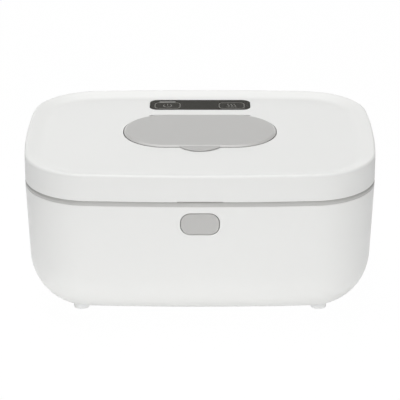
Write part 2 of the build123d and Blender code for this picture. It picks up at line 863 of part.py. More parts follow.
with BuildPart() as button_guide:
    with BuildSketch(Plane.XZ.offset(-guide_rear)):
        with Locations((0, button_z + (guide_rise - guide_drop) / 2)):
            RectangleRounded(guide_width, guide_rise + guide_drop, guide_screw_margin)
        with Locations((0, button_z)):
            Circle(button_stem_radius + slide_fit, mode=Mode.SUBTRACT)
        with Locations((0, catch_nose_top + soft_fit - catch_window / 2)):
            Rectangle(catch_width + 2 * catch_gap, catch_window, mode=Mode.SUBTRACT)
        with Locations(*guide_screw_places):
            Circle(screw_radius + fit, mode=Mode.SUBTRACT)
    extrude(amount=guide_thickness)
finish(button_guide.part, "button_guide")
finish(screws(Plane.XZ.offset(-guide_rear), guide_screw_places), "guide_screws")
finish(
    coil(
        (0, button_flange_rear, button_z),
        (0, 1, 0),
        button_spring_radius,
        button_spring_wire,
        button_spring_turns,
        guide_front - button_flange_rear,
    ),
    "button_spring",
)

# ---------------------------------------------------------------- lid catch
catch_head_top = liner_top + catch_head_thickness
nose_tip = catch_front - catch_gap - catch_bite

with BuildPart() as lid_catch:
    block(
        (-catch_width / 2, catch_front, catch_bottom),
        (catch_width / 2, catch_rear, catch_head_top),
    )
    block(
        (-catch_width / 2 - catch_head, catch_front - catch_head, liner_top),
        (catch_width / 2 + catch_head, catch_rear + catch_head, catch_head_top),
    )
    with BuildSketch(Plane.YZ):
        with BuildLine():
            Polyline(
                (catch_front, catch_nose_top),
                (nose_tip, catch_nose_top),
                (nose_tip, catch_nose_top - catch_bite),
                (catch_front, catch_bottom),
                close=True,
            )
        make_face()
    extrude(amount=catch_width / 2, both=True)
finish(lid_catch.part, "lid_catch")

# ---------------------------------------------------------------- lid shell
dish_inset = crest_radius + crest_flat
# How far in front of its rear edge the open flap still dips below the panel, and how wide it is there
flap_dip = (
    flap_hinge_inset + panel_z - flap_pin_z + flap_hinge_drop * tan(radians(flap_opening - 90))
)
trough_length = 2 * (
    flap_length / 2 - flap_corner + sqrt(flap_corner**2 - (flap_corner - flap_dip) ** 2) + 2 * well_gap
)
ear_starts = [
    side * flap_hinge_x + x
    for side in (1, -1)
    for x in (
        -flap_knuckle_length / 2 - soft_fit - flap_ear_width,
        flap_knuckle_length / 2 + soft_fit,
    )
]
mouth_outer_length = mouth_length + 2 * mouth_wall
mouth_outer_width = mouth_width + 2 * mouth_wall
touch_board_top = panel_under - touch_gap
touch_post_places = [
    (
        sx * (touch_board_length / 2 - touch_post_radius),
        window_y + sy * (touch_board_width / 2 - touch_post_radius),
    )
    for sx in (1, -1)
    for sy in (1, -1)
]


def well_outline(margin):
    """The flap's outline plus the hinge trough behind it, widened by margin."""
    with Locations((0, flap_centre_y)):
        RectangleRounded(flap_length + 2 * margin, flap_width + 2 * margin, flap_corner + margin)
    trough_rear = flap_rear + well_rear_room + margin - well_gap
    with Locations((0, trough_rear / 2)):
        RectangleRounded(trough_length + 2 * (margin - well_gap), trough_rear, well_corner)


with BuildPart() as lid_shell:
    with BuildSketch(Plane.XY.offset(lid_bottom)):
        Outline()
    extrude(amount=lid_height)
    fillet(lid_shell.edges().group_by(Axis.Z)[-1], crest_radius)
    with BuildSketch(Plane.XY.offset(panel_z)):
        Outline(dish_inset + dish_run)
    with BuildSketch(Plane.XY.offset(lid_top)):
        Outline(dish_inset)
    loft(ruled=True, mode=Mode.SUBTRACT)
    with BuildSketch(Plane.XY.offset(lid_bottom)):
        Outline(lid_wall)
    extrude(amount=panel_under - lid_bottom, mode=Mode.SUBTRACT)
    # Well for the flap, with the mouth's hole in its floor
    with BuildSketch(Plane.XY.offset(panel_under)):
        well_outline(well_gap + well_wall)
    extrude(amount=well_under - panel_under)
    with BuildSketch(Plane.XY.offset(panel_z)):
        well_outline(well_gap)
    extrude(amount=-well_depth, mode=Mode.SUBTRACT)
    with BuildSketch(Plane.XY.offset(well_floor)):
        SlotOverall(mouth_outer_length + 2 * fit, mouth_outer_width + 2 * fit)
    extrude(amount=-lid_wall, mode=Mode.SUBTRACT)
    # Ears that hold the flap's pins
    for x in ear_starts:
        with BuildSketch(Plane.YZ.offset(x)):
            with Locations((flap_pin_y, flap_pin_z)):
                Circle(flap_knuckle_radius)
            with BuildLine():
                Polyline(
                    (flap_pin_y - flap_ear_depth, well_floor - fit),
                    (flap_pin_y + flap_ear_rear, well_floor - fit),
                    (flap_pin_y + flap_ear_rear, flap_pin_z),
                    (flap_pin_y - flap_knuckle_radius, flap_pin_z),
                    close=True,
                )
            make_face()
            with Locations((flap_pin_y, flap_pin_z)):
                Circle(flap_pin_radius + press_fit, mode=Mode.SUBTRACT)
        extrude(amount=flap_ear_width)
    # Pocket for the touch window, slot for the light guide and posts for the touch board
    with BuildSketch(Plane.XY.offset(panel_z)):
        with Locations((0, window_y)):
            RectangleRounded(window_length + 2 * fit, window_width + 2 * fit, window_corner + fit)
    extrude(amount=-window_thickness, mode=Mode.SUBTRACT)
    with BuildSketch(Plane.XY.offset(panel_z)):
        with Locations((light_x, light_y)):
            Rectangle(light_length + 2 * fit, light_width + 2 * fit)
    extrude(amount=-lid_wall, mode=Mode.SUBTRACT)
    with BuildSketch(Plane.XY.offset(panel_under)):
        with Locations(*touch_post_places):
            Circle(touch_post_radius)
    extrude(amount=-touch_gap)
    # Screw bosses, and the rib that holds the catch's head down on the liner
    with BuildSketch(Plane.XY.offset(liner_top)):
        with Locations(*lid_screw_places):
            Circle(lid_boss_radius)
    extrude(amount=panel_under - liner_top)
    with BuildSketch(Plane.XY.offset(liner_top)):
        with Locations(*lid_screw_places):
            Circle(screw_radius)
    extrude(amount=screw_length - liner_thickness + fit, mode=Mode.SUBTRACT)
    block(
        (-catch_width / 2, catch_front, catch_head_top),
        (catch_width / 2, catch_rear, panel_under),
    )
    # Finger notch in the front lower edge
    block(
        (-notch_length / 2, -depth, lid_bottom),
        (notch_length / 2, notch_depth - depth / 2, lid_bottom + notch_height),
        mode=Mode.SUBTRACT,
    )
    # Hinge knuckles
    for side in (1, -1):
        with BuildSketch(Plane.YZ.offset(side * hinge_station - lid_knuckle_length / 2)):
            with Locations((hinge_y, hinge_z)):
                Circle(knuckle_radius)
            with BuildLine():
                Polyline(
                    (depth / 2 - lid_wall, lid_bottom),
                    (hinge_y - knuckle_radius, lid_bottom),
                    (hinge_y - knuckle_radius, hinge_z),
                    (hinge_y + knuckle_radius, hinge_z),
                    (depth / 2 - lid_wall, hinge_z + knuckle_radius + lug_height),
                    close=True,
                )
            make_face()
        extrude(amount=lid_knuckle_length)
        with BuildSketch(Plane.YZ.offset(side * hinge_station - lid_knuckle_length / 2)):
            with Locations((hinge_y, hinge_z)):
                Circle(hinge_pin_radius + pin_fit)
        extrude(amount=lid_knuckle_length, mode=Mode.SUBTRACT)
        with BuildSketch(Plane.YZ.offset(side * (hinge_station - lid_knuckle_length / 2))):
            with Locations((hinge_y, hinge_z)):
                Circle(hinge_spring_radius + hinge_spring_wire / 2 + hinge_spring_room)
        extrude(amount=side * spring_room_depth, mode=Mode.SUBTRACT)
finish(lid_shell.part, "lid_shell")

# ---------------------------------------------------------------- lid liner, seal and screws
seal_low = flange_top + soft_fit


def seal_ring(spare):
    """The seal's plan, or its seat when spare is its clearance."""
    outer = seal_reach + spare
    inner = seal_reach - seal_width - spare
    RectangleRounded(tub_length + 2 * outer, tub_width + 2 * outer, tub_corner + outer)
    RectangleRounded(tub_length + 2 * inner, tub_width + 2 * inner, tub_corner + inner, mode=Mode.SUBTRACT)


with BuildPart() as lid_liner:
    with BuildSketch(Plane.XY.offset(liner_bottom)):
        Outline(lid_wall + fit)
        SlotOverall(mouth_outer_length + 2 * fit, mouth_outer_width + 2 * fit, mode=Mode.SUBTRACT)
        with Locations((0, (catch_front + catch_rear) / 2)):
            Rectangle(catch_width + 2 * fit, catch_thickness + 2 * fit, mode=Mode.SUBTRACT)
        with Locations((lid_cable_x, lid_cable_y)):
            Circle(wire_radius + fit, mode=Mode.SUBTRACT)
        with Locations(*lid_screw_places):
            Circle(screw_radius + fit, mode=Mode.SUBTRACT)
    extrude(amount=liner_thickness)
    with BuildSketch(Plane.XY.offset(liner_bottom)):
        seal_ring(fit / 2)
    extrude(amount=seal_seat, mode=Mode.SUBTRACT)
finish(lid_liner.part, "lid_liner")
finish(screws(Plane.XY.offset(liner_bottom), lid_screw_places), "lid_screws")

with BuildPart() as lid_seal:
    with BuildSketch(Plane.XY.offset(seal_low)):
        seal_ring(0)
    extrude(amount=liner_bottom + seal_seat - seal_low)
finish(lid_seal.part, "lid_seal")

with BuildPart() as dispensing_mouth:
    with BuildSketch(Plane.XY.offset(liner_bottom)):
        SlotOverall(mouth_outer_length, mouth_outer_width)
    extrude(amount=mouth_top - liner_bottom)
    with BuildSketch(Plane.XY.offset(well_floor)):
        SlotOverall(mouth_outer_length + 2 * mouth_flange, mouth_outer_width + 2 * mouth_flange)
    extrude(amount=mouth_flange_thickness)
    with BuildSketch(Plane.XY.offset(liner_bottom)):
        SlotOverall(mouth_length, mouth_width)
    extrude(amount=mouth_top - liner_bottom, mode=Mode.SUBTRACT)
finish(dispensing_mouth.part, "dispensing_mouth")

# ---------------------------------------------------------------- touch panel
with BuildPart() as touch_window:
    with BuildSketch(Plane.XY.offset(panel_z)):
        with Locations((0, window_y)):
            RectangleRounded(window_length, window_width, window_corner)
    extrude(amount=-window_thickness)
finish(touch_window.part, "touch_window")

with BuildPart() as light_guide:
    with BuildSketch(Plane.XY.offset(touch_board_top)):
        with Locations((light_x, light_y)):
            Rectangle(light_length, light_width)
    extrude(amount=panel_z - window_thickness - touch_board_top)
finish(light_guide.part, "light_guide")

with BuildPart() as touch_board:
    with BuildSketch(Plane.XY.offset(touch_board_top)):
        with Locations((0, window_y)):
            RectangleRounded(touch_board_length, touch_board_width, touch_post_radius)
    extrude(amount=-board_thickness)
finish(touch_board.part, "touch_board")

with BuildPart() as key_springs:
    for side in (1, -1):
        add(
            coil(
                (side * key_x, key_y, touch_board_top),
                (0, 0, 1),
                key_spring_radius,
                key_spring_wire,
                key_spring_turns,
                touch_gap,
            )
        )
finish(key_springs.part, "key_springs")

with BuildPart() as lid_cable_upper:
    with BuildSketch(Plane.XY.offset(seal_low)):
        with Locations((lid_cable_x, lid_cable_y)):
            Circle(wire_radius)
    extrude(amount=touch_board_top - board_thickness - seal_low)
finish(lid_cable_upper.part, "lid_cable_upper")

# ---------------------------------------------------------------- dispensing flap
# The skirt stops in front of the ears, and before its lower edge would swing back against the well's wall
skirt_lift = panel_z - flap_pin_z
skirt_swing = (skirt_lift**2 + well_gap**2) / (2 * well_gap)
skirt_end = flap_pin_y - max(skirt_swing, flap_ear_depth + soft_fit)
tab_radius = ((tab_width / 2) ** 2 + tab_reach**2) / (2 * tab_reach)
tab_top = flap_top - tab_drop

with BuildPart() as flap_cover:
    with BuildSketch(Plane.XY.offset(flap_under)):
        with Locations((0, flap_centre_y)):
            RectangleRounded(flap_length, flap_width, flap_corner)
    extrude(amount=flap_plate)
    fillet(flap_cover.edges().group_by(Axis.Z)[-1], flap_edge)
    with BuildSketch(Plane.XY.offset(flap_under)):
        with Locations((0, flap_centre_y)):
            RectangleRounded(flap_length, flap_width, flap_corner)
            RectangleRounded(
                flap_length - 2 * flap_skirt_wall,
                flap_width - 2 * flap_skirt_wall,
                flap_corner - flap_skirt_wall,
                mode=Mode.SUBTRACT,
            )
        with Locations((0, skirt_end + flap_width / 2)):
            Rectangle(flap_length, flap_width, mode=Mode.SUBTRACT)
    extrude(amount=-flap_skirt)
    with BuildSketch(Plane.XY.offset(tab_top)):
        with Locations((0, flap_front - tab_reach + tab_radius)):
            Circle(tab_radius)
        with Locations((0, flap_front + flap_skirt_wall / 2 + tab_radius)):
            Rectangle(2 * tab_radius, 2 * tab_radius, mode=Mode.SUBTRACT)
    extrude(amount=-tab_thickness)
    # Pockets under the rear edge, in which the lid's ears stand while the flap turns
    for x in ear_starts:
        with BuildSketch(Plane.YZ.offset(x - soft_fit)):
            with Locations((flap_pin_y, flap_pin_z)):
                Circle(flap_knuckle_radius + soft_fit)
        extrude(amount=flap_ear_width + 2 * soft_fit, mode=Mode.SUBTRACT)
    for side in (1, -1):
        with BuildSketch(Plane.YZ.offset(side * flap_hinge_x - flap_knuckle_length / 2)):
            with Locations((flap_pin_y, flap_pin_z)):
                Circle(flap_knuckle_radius)
            with Locations((flap_pin_y, (flap_pin_z + flap_under + fit) / 2)):
                Rectangle(2 * flap_knuckle_radius, flap_under + fit - flap_pin_z)
        extrude(amount=flap_knuckle_length)
        with BuildSketch(Plane.YZ.offset(side * flap_hinge_x - flap_knuckle_length / 2)):
            with Locations((flap_pin_y, flap_pin_z)):
                Circle(flap_pin_radius + pin_fit)
        extrude(amount=flap_knuckle_length, mode=Mode.SUBTRACT)
finish(flap_cover.part, "flap_cover")

with BuildPart() as flap_pins:
    for side in (1, -1):
        reach = flap_knuckle_length / 2 + soft_fit + flap_ear_width
        with BuildSketch(Plane.YZ.offset(side * flap_hinge_x - reach)):
            with Locations((flap_pin_y, flap_pin_z)):
                Circle(flap_pin_radius)
        extrude(amount=2 * reach)
finish(flap_pins.part, "flap_pins")

with BuildPart() as flap_seal:
    with BuildSketch(Plane.XY.offset(mouth_top + soft_fit)):
        SlotOverall(mouth_outer_length, mouth_outer_width)
        SlotOverall(
            mouth_outer_length - 2 * flap_seal_wall,
            mouth_outer_width - 2 * flap_seal_wall,
            mode=Mode.SUBTRACT,
        )
    extrude(amount=flap_under - mouth_top - soft_fit)
finish(flap_seal.part, "flap_seal")
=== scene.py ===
# %% [markdown]
# # A baby wipe warmer, from solids to a studio scene
#
# The warmer is a soft-cornered white box with a hinged lid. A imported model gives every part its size,
# place and motion. In this lesson that model is loaded as a fixed frame, the parts that show are
# modelled again with finer edges, every surface gets a material made of nodes, and a plain studio is
# set round it. Lengths are written in millimetres and turned into Blender's metres with `mm`.

# %% Load the frame
import json
from math import atan, cos, pi, radians, sin, sqrt, tan

import bmesh
import bpy
from mathutils import Matrix, Vector


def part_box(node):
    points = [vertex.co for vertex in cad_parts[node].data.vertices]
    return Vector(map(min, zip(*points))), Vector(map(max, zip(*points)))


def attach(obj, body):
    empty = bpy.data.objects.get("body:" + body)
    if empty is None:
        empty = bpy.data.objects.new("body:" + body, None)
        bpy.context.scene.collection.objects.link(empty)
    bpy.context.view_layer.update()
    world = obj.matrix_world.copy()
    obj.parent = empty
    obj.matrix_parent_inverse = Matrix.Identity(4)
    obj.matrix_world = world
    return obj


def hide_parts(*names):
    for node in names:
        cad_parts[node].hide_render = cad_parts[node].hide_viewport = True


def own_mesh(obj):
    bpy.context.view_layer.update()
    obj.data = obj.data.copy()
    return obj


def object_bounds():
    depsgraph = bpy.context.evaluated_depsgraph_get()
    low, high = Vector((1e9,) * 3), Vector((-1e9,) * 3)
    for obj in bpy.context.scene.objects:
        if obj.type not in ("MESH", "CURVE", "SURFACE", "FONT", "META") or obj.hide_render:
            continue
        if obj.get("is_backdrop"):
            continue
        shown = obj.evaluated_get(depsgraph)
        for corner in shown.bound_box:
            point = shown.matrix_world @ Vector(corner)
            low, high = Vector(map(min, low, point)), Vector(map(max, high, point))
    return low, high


mm = 0.001
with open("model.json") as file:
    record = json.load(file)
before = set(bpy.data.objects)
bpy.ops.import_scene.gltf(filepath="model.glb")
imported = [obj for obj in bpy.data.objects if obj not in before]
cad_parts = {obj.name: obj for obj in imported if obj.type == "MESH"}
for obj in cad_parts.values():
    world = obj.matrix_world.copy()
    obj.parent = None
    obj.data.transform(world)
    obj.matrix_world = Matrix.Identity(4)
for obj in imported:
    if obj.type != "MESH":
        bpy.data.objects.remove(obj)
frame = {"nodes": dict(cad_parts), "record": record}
nodes = frame["nodes"]
cad_box = [list(corner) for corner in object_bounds()]

# %% [markdown]
# ## The camera
#
# A product like this is shown from a little above with a long lens, so that its sides stay
# nearly parallel. The camera stands in front and looks down by about 22 degrees. Its angle is worked
# out from the two points that it stands at and looks at, which is easier to read than three rotations.

# %% Place the camera
camera_place = Vector((0, -1201.7, 550.4)) * mm
camera_aim = Vector((0, 0, 54.6)) * mm
camera_data = bpy.data.cameras.new("studio_camera")
camera_data.lens = 181.5
camera = bpy.data.objects.new("studio_camera", camera_data)
camera.location = camera_place
camera.rotation_euler = (camera_aim - camera_place).to_track_quat("-Z", "Y").to_euler()
bpy.context.scene.collection.objects.link(camera)
bpy.context.scene.camera = camera
print("looks down by", round(atan((camera_place.z - camera_aim.z) / -camera_place.y) * 180 / pi, 1))

# %% [markdown]
# ## Node helpers
#
# A material is a small network of nodes. Three helpers keep the recipes short: one starts a material,
# one adds a node and fills in its plain values, and one joins two sockets.

# %% Helpers that build node networks
def add_node(tree, kind, values=None, **settings):
    """Add a node, set its properties by name and its input sockets by name or number."""
    node = tree.nodes.new(kind)
    for key, value in settings.items():
        setattr(node, key, value)
    for key, value in (values or {}).items():
        node.inputs[key].default_value = value
    return node


def join(tree, source, target):
    """Wire one output socket into one input socket."""
    tree.links.new(source, target)


def start_material(name, values):
    """A material with one Principled shader whose plain values are set straight on its sockets."""
    material = bpy.data.materials.new(name)
    material.use_nodes = True
    tree = material.node_tree
    tree.nodes.clear()
    output = add_node(tree, "ShaderNodeOutputMaterial")
    shader = add_node(tree, "ShaderNodeBsdfPrincipled", values)
    join(tree, shader.outputs["BSDF"], output.inputs["Surface"])
    print("material:", name)
    return material, tree, shader


def start_group(name, inputs, outputs):
    """A reusable node group. Inputs and outputs are lists of name, socket kind and default."""
    tree = bpy.data.node_groups.new(name, "ShaderNodeTree")
    for label, kind, default in inputs:
        socket = tree.interface.new_socket(label, in_out="INPUT", socket_type=kind)
        socket.default_value = default
    for label, kind in outputs:
        tree.interface.new_socket(label, in_out="OUTPUT", socket_type=kind)
    print("group:", name)
    return tree, add_node(tree, "NodeGroupInput"), add_node(tree, "NodeGroupOutput")


def use_group(tree, group, values):
    """Place a node group in a material with its own values."""
    return add_node(tree, "ShaderNodeGroup", values, node_tree=group)


# %% [markdown]
# ## The studio
#
# White plastic needs a plain, soft studio: two large lamps that leave no hard shadow, a low card behind
# that gleams on the lid's slopes, and a dim world, so that round corners turn into grey. The warmer
# stands on a light table, whose glow fades with the distance and lifts the underside. The floor and the
# backdrop look white to the camera, which Light Path picks out, while the lamps stay at a level where a
# colour renders about as it is written.

# %% World and lamps
scene = bpy.context.scene
scene.view_settings.view_transform = "Standard"

world = bpy.data.worlds.new("studio_air")
scene.world = world
world.use_nodes = True
air = world.node_tree
air.nodes.clear()
air_output = add_node(air, "ShaderNodeOutputWorld")
air_light = add_node(air, "ShaderNodeBackground", {"Color": (0.97, 0.985, 1.0, 1), "Strength": 0.16})
air_seen = add_node(air, "ShaderNodeBackground", {"Color": (1, 1, 1, 1), "Strength": 1.0})
air_path = add_node(air, "ShaderNodeLightPath")
air_mix = add_node(air, "ShaderNodeMixShader")
join(air, air_path.outputs["Is Camera Ray"], air_mix.inputs["Fac"])
join(air, air_light.outputs["Background"], air_mix.inputs[1])
join(air, air_seen.outputs["Background"], air_mix.inputs[2])
join(air, air_mix.outputs["Shader"], air_output.inputs["Surface"])


def soft_box(name, place, aim, width, height, power):
    """A rectangular studio lamp that faces the point it is aimed at."""
    data = bpy.data.lights.new(name, "AREA")
    data.shape = "RECTANGLE"
    data.size, data.size_y = width, height
    data.energy = power
    lamp = bpy.data.objects.new(name, data)
    lamp.location = place
    lamp.rotation_euler = (Vector(aim) - Vector(place)).to_track_quat("-Z", "Y").to_euler()
    scene.collection.objects.link(lamp)


soft_box("top_lamp", place=(-0.12, 0.25, 1.5), aim=(0, 0, 0.08), width=1.0, height=1.3, power=18.6)
soft_box("front_lamp", place=(0, -1.7, 0.75), aim=(0, 0, 0.05), width=1.2, height=0.9, power=14.4)
soft_box("rear_card", place=(0, 1.3, 0.22), aim=(0, 0, 0.1), width=1.6, height=0.3, power=2.5)

# %% Floor
glow_near, glow_far, glow_strength = 0.1, 0.34, 0.24  # the light table's glow, in metres from the middle
seen_white = 0.975  # how much of the floor's white comes straight to the camera

bpy.ops.object.select_all(action="DESELECT")
bpy.ops.mesh.primitive_grid_add(x_subdivisions=8, y_subdivisions=8, size=8.0)
floor = bpy.context.object
floor.name = "studio_floor"
floor_material = bpy.data.materials.new("white_sweep")
floor_material.use_nodes = True
sweep = floor_material.node_tree
sweep.nodes.clear()
sweep_output = add_node(sweep, "ShaderNodeOutputMaterial")
sweep_matt = add_node(sweep, "ShaderNodeBsdfDiffuse", {"Color": (0.95, 0.95, 0.95, 1)})
sweep_white = add_node(sweep, "ShaderNodeEmission", {"Color": (1, 1, 1, 1), "Strength": 1.0})
sweep_place = add_node(sweep, "ShaderNodeTexCoord")
sweep_far = add_node(sweep, "ShaderNodeVectorMath", operation="LENGTH")
sweep_fade = add_node(
    sweep,
    "ShaderNodeMapRange",
    {"From Min": glow_near, "From Max": glow_far, "To Min": glow_strength, "To Max": 0.0},
    interpolation_type="SMOOTHSTEP",
)
sweep_glow = add_node(sweep, "ShaderNodeEmission", {"Color": (1, 1, 1, 1)})
sweep_table = add_node(sweep, "ShaderNodeAddShader")
join(sweep, sweep_place.outputs["Object"], sweep_far.inputs[0])
join(sweep, sweep_far.outputs["Value"], sweep_fade.inputs["Value"])
join(sweep, sweep_fade.outputs["Result"], sweep_glow.inputs["Strength"])
join(sweep, sweep_matt.outputs["BSDF"], sweep_table.inputs[0])
join(sweep, sweep_glow.outputs["Emission"], sweep_table.inputs[1])
sweep_path = add_node(sweep, "ShaderNodeLightPath")
sweep_seen = add_node(sweep, "ShaderNodeMath", operation="MAXIMUM")
sweep_share = add_node(sweep, "ShaderNodeMath", {1: seen_white}, operation="MULTIPLY")
sweep_mix = add_node(sweep, "ShaderNodeMixShader")
join(sweep, sweep_path.outputs["Is Camera Ray"], sweep_seen.inputs[0])
join(sweep, sweep_path.outputs["Is Transmission Ray"], sweep_seen.inputs[1])
join(sweep, sweep_seen.outputs["Value"], sweep_share.inputs[0])
join(sweep, sweep_share.outputs["Value"], sweep_mix.inputs["Fac"])
join(sweep, sweep_table.outputs["Shader"], sweep_mix.inputs[1])
join(sweep, sweep_white.outputs["Emission"], sweep_mix.inputs[2])
join(sweep, sweep_mix.outputs["Shader"], sweep_output.inputs["Surface"])
floor.data.materials.append(floor_material)
floor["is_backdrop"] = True
print("the floor is", floor.dimensions.x, "metres wide")

# %% [markdown]
# ## Effects that several materials share
#
# Moulded plastic is never one flat colour. Its surface has a fine spark-eroded grain, its gloss drifts
# a little where the mould was polished, and its tone wanders by a percent or two. Its sharp edges are
# painted a touch paler, a painted highlight that a fine noise breaks up. Each of these is one node group
# here, so that every material can use it with its own strength and scale.

# %% Group: moulded grain
grain_group, grain_in, grain_out = start_group(
    "moulded grain",
    [
        ("Grain Size", "NodeSocketFloat", 2200.0),
        ("Grain Depth", "NodeSocketFloat", 0.05),
        ("Gloss", "NodeSocketFloat", 0.35),
        ("Gloss Drift", "NodeSocketFloat", 0.06),
    ],
    [("Normal", "NodeSocketVector"), ("Roughness", "NodeSocketFloat")],
)
place = add_node(grain_group, "ShaderNodeTexCoord")
pits = add_node(grain_group, "ShaderNodeTexNoise", {"Detail": 3.0, "Roughness": 0.6})
join(grain_group, place.outputs["Object"], pits.inputs["Vector"])
join(grain_group, grain_in.outputs["Grain Size"], pits.inputs["Scale"])
relief = add_node(grain_group, "ShaderNodeBump", {"Distance": 0.0001})
join(grain_group, grain_in.outputs["Grain Depth"], relief.inputs["Strength"])
join(grain_group, pits.outputs["Fac"], relief.inputs["Height"])
join(grain_group, relief.outputs["Normal"], grain_out.inputs["Normal"])
patches = add_node(grain_group, "ShaderNodeTexNoise", {"Scale": 22.0, "Detail": 4.0})
join(grain_group, place.outputs["Object"], patches.inputs["Vector"])
centred = add_node(grain_group, "ShaderNodeMath", {1: 0.5}, operation="SUBTRACT")
join(grain_group, patches.outputs["Fac"], centred.inputs[0])
swing = add_node(grain_group, "ShaderNodeMath", operation="MULTIPLY_ADD")
join(grain_group, centred.outputs["Value"], swing.inputs[0])
join(grain_group, grain_in.outputs["Gloss Drift"], swing.inputs[1])
join(grain_group, grain_in.outputs["Gloss"], swing.inputs[2])
join(grain_group, swing.outputs["Value"], grain_out.inputs["Roughness"])

# %% Group: tone and painted edge highlight
tone_group, tone_in, tone_out = start_group(
    "tone and painted edge highlight",
    [
        ("Color", "NodeSocketColor", (0.8, 0.8, 0.8, 1)),
        ("Edge Highlight Color", "NodeSocketColor", (0.9, 0.9, 0.9, 1)),
        ("Tone Drift", "NodeSocketFloat", 0.03),
        ("Patch Size", "NodeSocketFloat", 14.0),
        ("Edge Highlight", "NodeSocketFloat", 0.3),
    ],
    [("Color", "NodeSocketColor")],
)
place = add_node(tone_group, "ShaderNodeTexCoord")
clouds = add_node(tone_group, "ShaderNodeTexNoise", {"Detail": 5.0, "Roughness": 0.55})
join(tone_group, place.outputs["Object"], clouds.inputs["Vector"])
join(tone_group, tone_in.outputs["Patch Size"], clouds.inputs["Scale"])
lifted = add_node(tone_group, "ShaderNodeMath", {1: 0.5}, operation="SUBTRACT")
join(tone_group, clouds.outputs["Fac"], lifted.inputs[0])
brightness = add_node(tone_group, "ShaderNodeMath", {2: 1.0}, operation="MULTIPLY_ADD")
join(tone_group, lifted.outputs["Value"], brightness.inputs[0])
join(tone_group, tone_in.outputs["Tone Drift"], brightness.inputs[1])
tinted = add_node(tone_group, "ShaderNodeVectorMath", operation="SCALE")
join(tone_group, tone_in.outputs["Color"], tinted.inputs["Vector"])
join(tone_group, brightness.outputs["Value"], tinted.inputs["Scale"])
# Sharp convex edges are painted paler, as a painted highlight, and a fine noise breaks it up
bend = add_node(tone_group, "ShaderNodeNewGeometry")
edges = add_node(tone_group, "ShaderNodeMapRange", {"From Min": 0.53, "From Max": 0.62})
join(tone_group, bend.outputs["Pointiness"], edges.inputs["Value"])
highlight_breakup = add_node(tone_group, "ShaderNodeTexNoise", {"Scale": 260.0, "Detail": 2.0})
join(tone_group, place.outputs["Object"], highlight_breakup.inputs["Vector"])
broken_highlight = add_node(tone_group, "ShaderNodeMath", operation="MULTIPLY")
join(tone_group, edges.outputs["Result"], broken_highlight.inputs[0])
join(tone_group, highlight_breakup.outputs["Fac"], broken_highlight.inputs[1])
edge_highlight = add_node(tone_group, "ShaderNodeMath", operation="MULTIPLY")
join(tone_group, broken_highlight.outputs["Value"], edge_highlight.inputs[0])
join(tone_group, tone_in.outputs["Edge Highlight"], edge_highlight.inputs[1])
highlighted = add_node(tone_group, "ShaderNodeMix", data_type="RGBA")
join(tone_group, edge_highlight.outputs["Value"], highlighted.inputs["Factor"])
join(tone_group, tinted.outputs["Vector"], highlighted.inputs[6])
join(tone_group, tone_in.outputs["Edge Highlight Color"], highlighted.inputs[7])
join(tone_group, highlighted.outputs[2], tone_out.inputs["Color"])

# %% [markdown]
# Nearly every finish uses these two groups in the same way: the tone feeds the base colour, and the
# grain feeds the roughness and the normal. Two helpers do that wiring, so that a recipe is only a few
# lines of values.

# %% Helpers that lay tone and grain on a shader
def lay_tone(tree, shader, color, edge_highlight=(0.9, 0.9, 0.9), drift=0.03, size=14.0, edge_highlight_amount=0.3):
    """Put a wandering tone on a shader's base colour, with a painted highlight along its sharp edges."""
    values = {"Color": (*color, 1), "Edge Highlight Color": (*edge_highlight, 1)}
    values |= {"Tone Drift": drift, "Patch Size": size, "Edge Highlight": edge_highlight_amount}
    tone = use_group(tree, tone_group, values)
    join(tree, tone.outputs["Color"], shader.inputs["Base Color"])
    return tone


def lay_grain(tree, shader, size, depth, gloss, drift):
    """Put a moulded grain on a shader's normal and a wandering gloss on its roughness."""
    values = {"Grain Size": size, "Grain Depth": depth, "Gloss": gloss, "Gloss Drift": drift}
    surface = use_group(tree, grain_group, values)
    join(tree, surface.outputs["Roughness"], shader.inputs["Roughness"])
    join(tree, surface.outputs["Normal"], shader.inputs["Normal"])


# %% [markdown]
# ## White shell plastic
#
# The body and the lid are moulded in white ABS with a satin polish. A thin clear gloss lies over a
# slightly rougher base, which is how a polished mould leaves the surface: soft reflections of the
# lamps, with no mirror image in them.

# %% Materials: moulded plastics
def moulded_plastic(name, color, edge_highlight, gloss, grain, drift, edge_highlight_amount, clear_coat=0.0, size=2200.0):
    """A plastic with grain, a wandering tone and a painted highlight along its edges."""
    material, tree, shader = start_material(
        name, {"IOR": 1.5, "Coat Weight": clear_coat, "Coat Roughness": 0.22, "Coat IOR": 1.5}
    )
    lay_tone(tree, shader, color, edge_highlight, drift, edge_highlight_amount=edge_highlight_amount)
    lay_grain(tree, shader, size, grain, gloss, drift=0.08)
    return material


white_shell = moulded_plastic(
    "satin_white_abs",
    color=(0.80, 0.80, 0.785),
    edge_highlight=(0.86, 0.86, 0.85),
    gloss=0.46,
    grain=0.06,
    drift=0.012,
    edge_highlight_amount=0.25,
    clear_coat=0.06,
)
tub_white = moulded_plastic(
    "matt_white_polypropylene",
    color=(0.76, 0.76, 0.75),
    edge_highlight=(0.82, 0.82, 0.81),
    gloss=0.55,
    grain=0.12,
    drift=0.02,
    edge_highlight_amount=0.2,
    size=1500.0,
)
warm_grey = moulded_plastic(
    "satin_warm_grey_abs",
    color=(0.495, 0.49, 0.477),
    edge_highlight=(0.60, 0.60, 0.585),
    gloss=0.40,
    grain=0.08,
    drift=0.02,
    edge_highlight_amount=0.5,
    clear_coat=0.10,
)
black_shell = moulded_plastic(
    "black_moulded_plastic",
    color=(0.028, 0.028, 0.03),
    edge_highlight=(0.09, 0.09, 0.09),
    gloss=0.5,
    grain=0.15,
    drift=0.1,
    edge_highlight_amount=0.5,
    size=1500.0,
)

# %% [markdown]
# ## Smoked window and frosted light
#
# The touch window is a dark, glossy sheet of acrylic. It is nearly black, but warm, and a faint haze
# of fine dust keeps its reflection from being perfect. The light guide behind it is frosted.

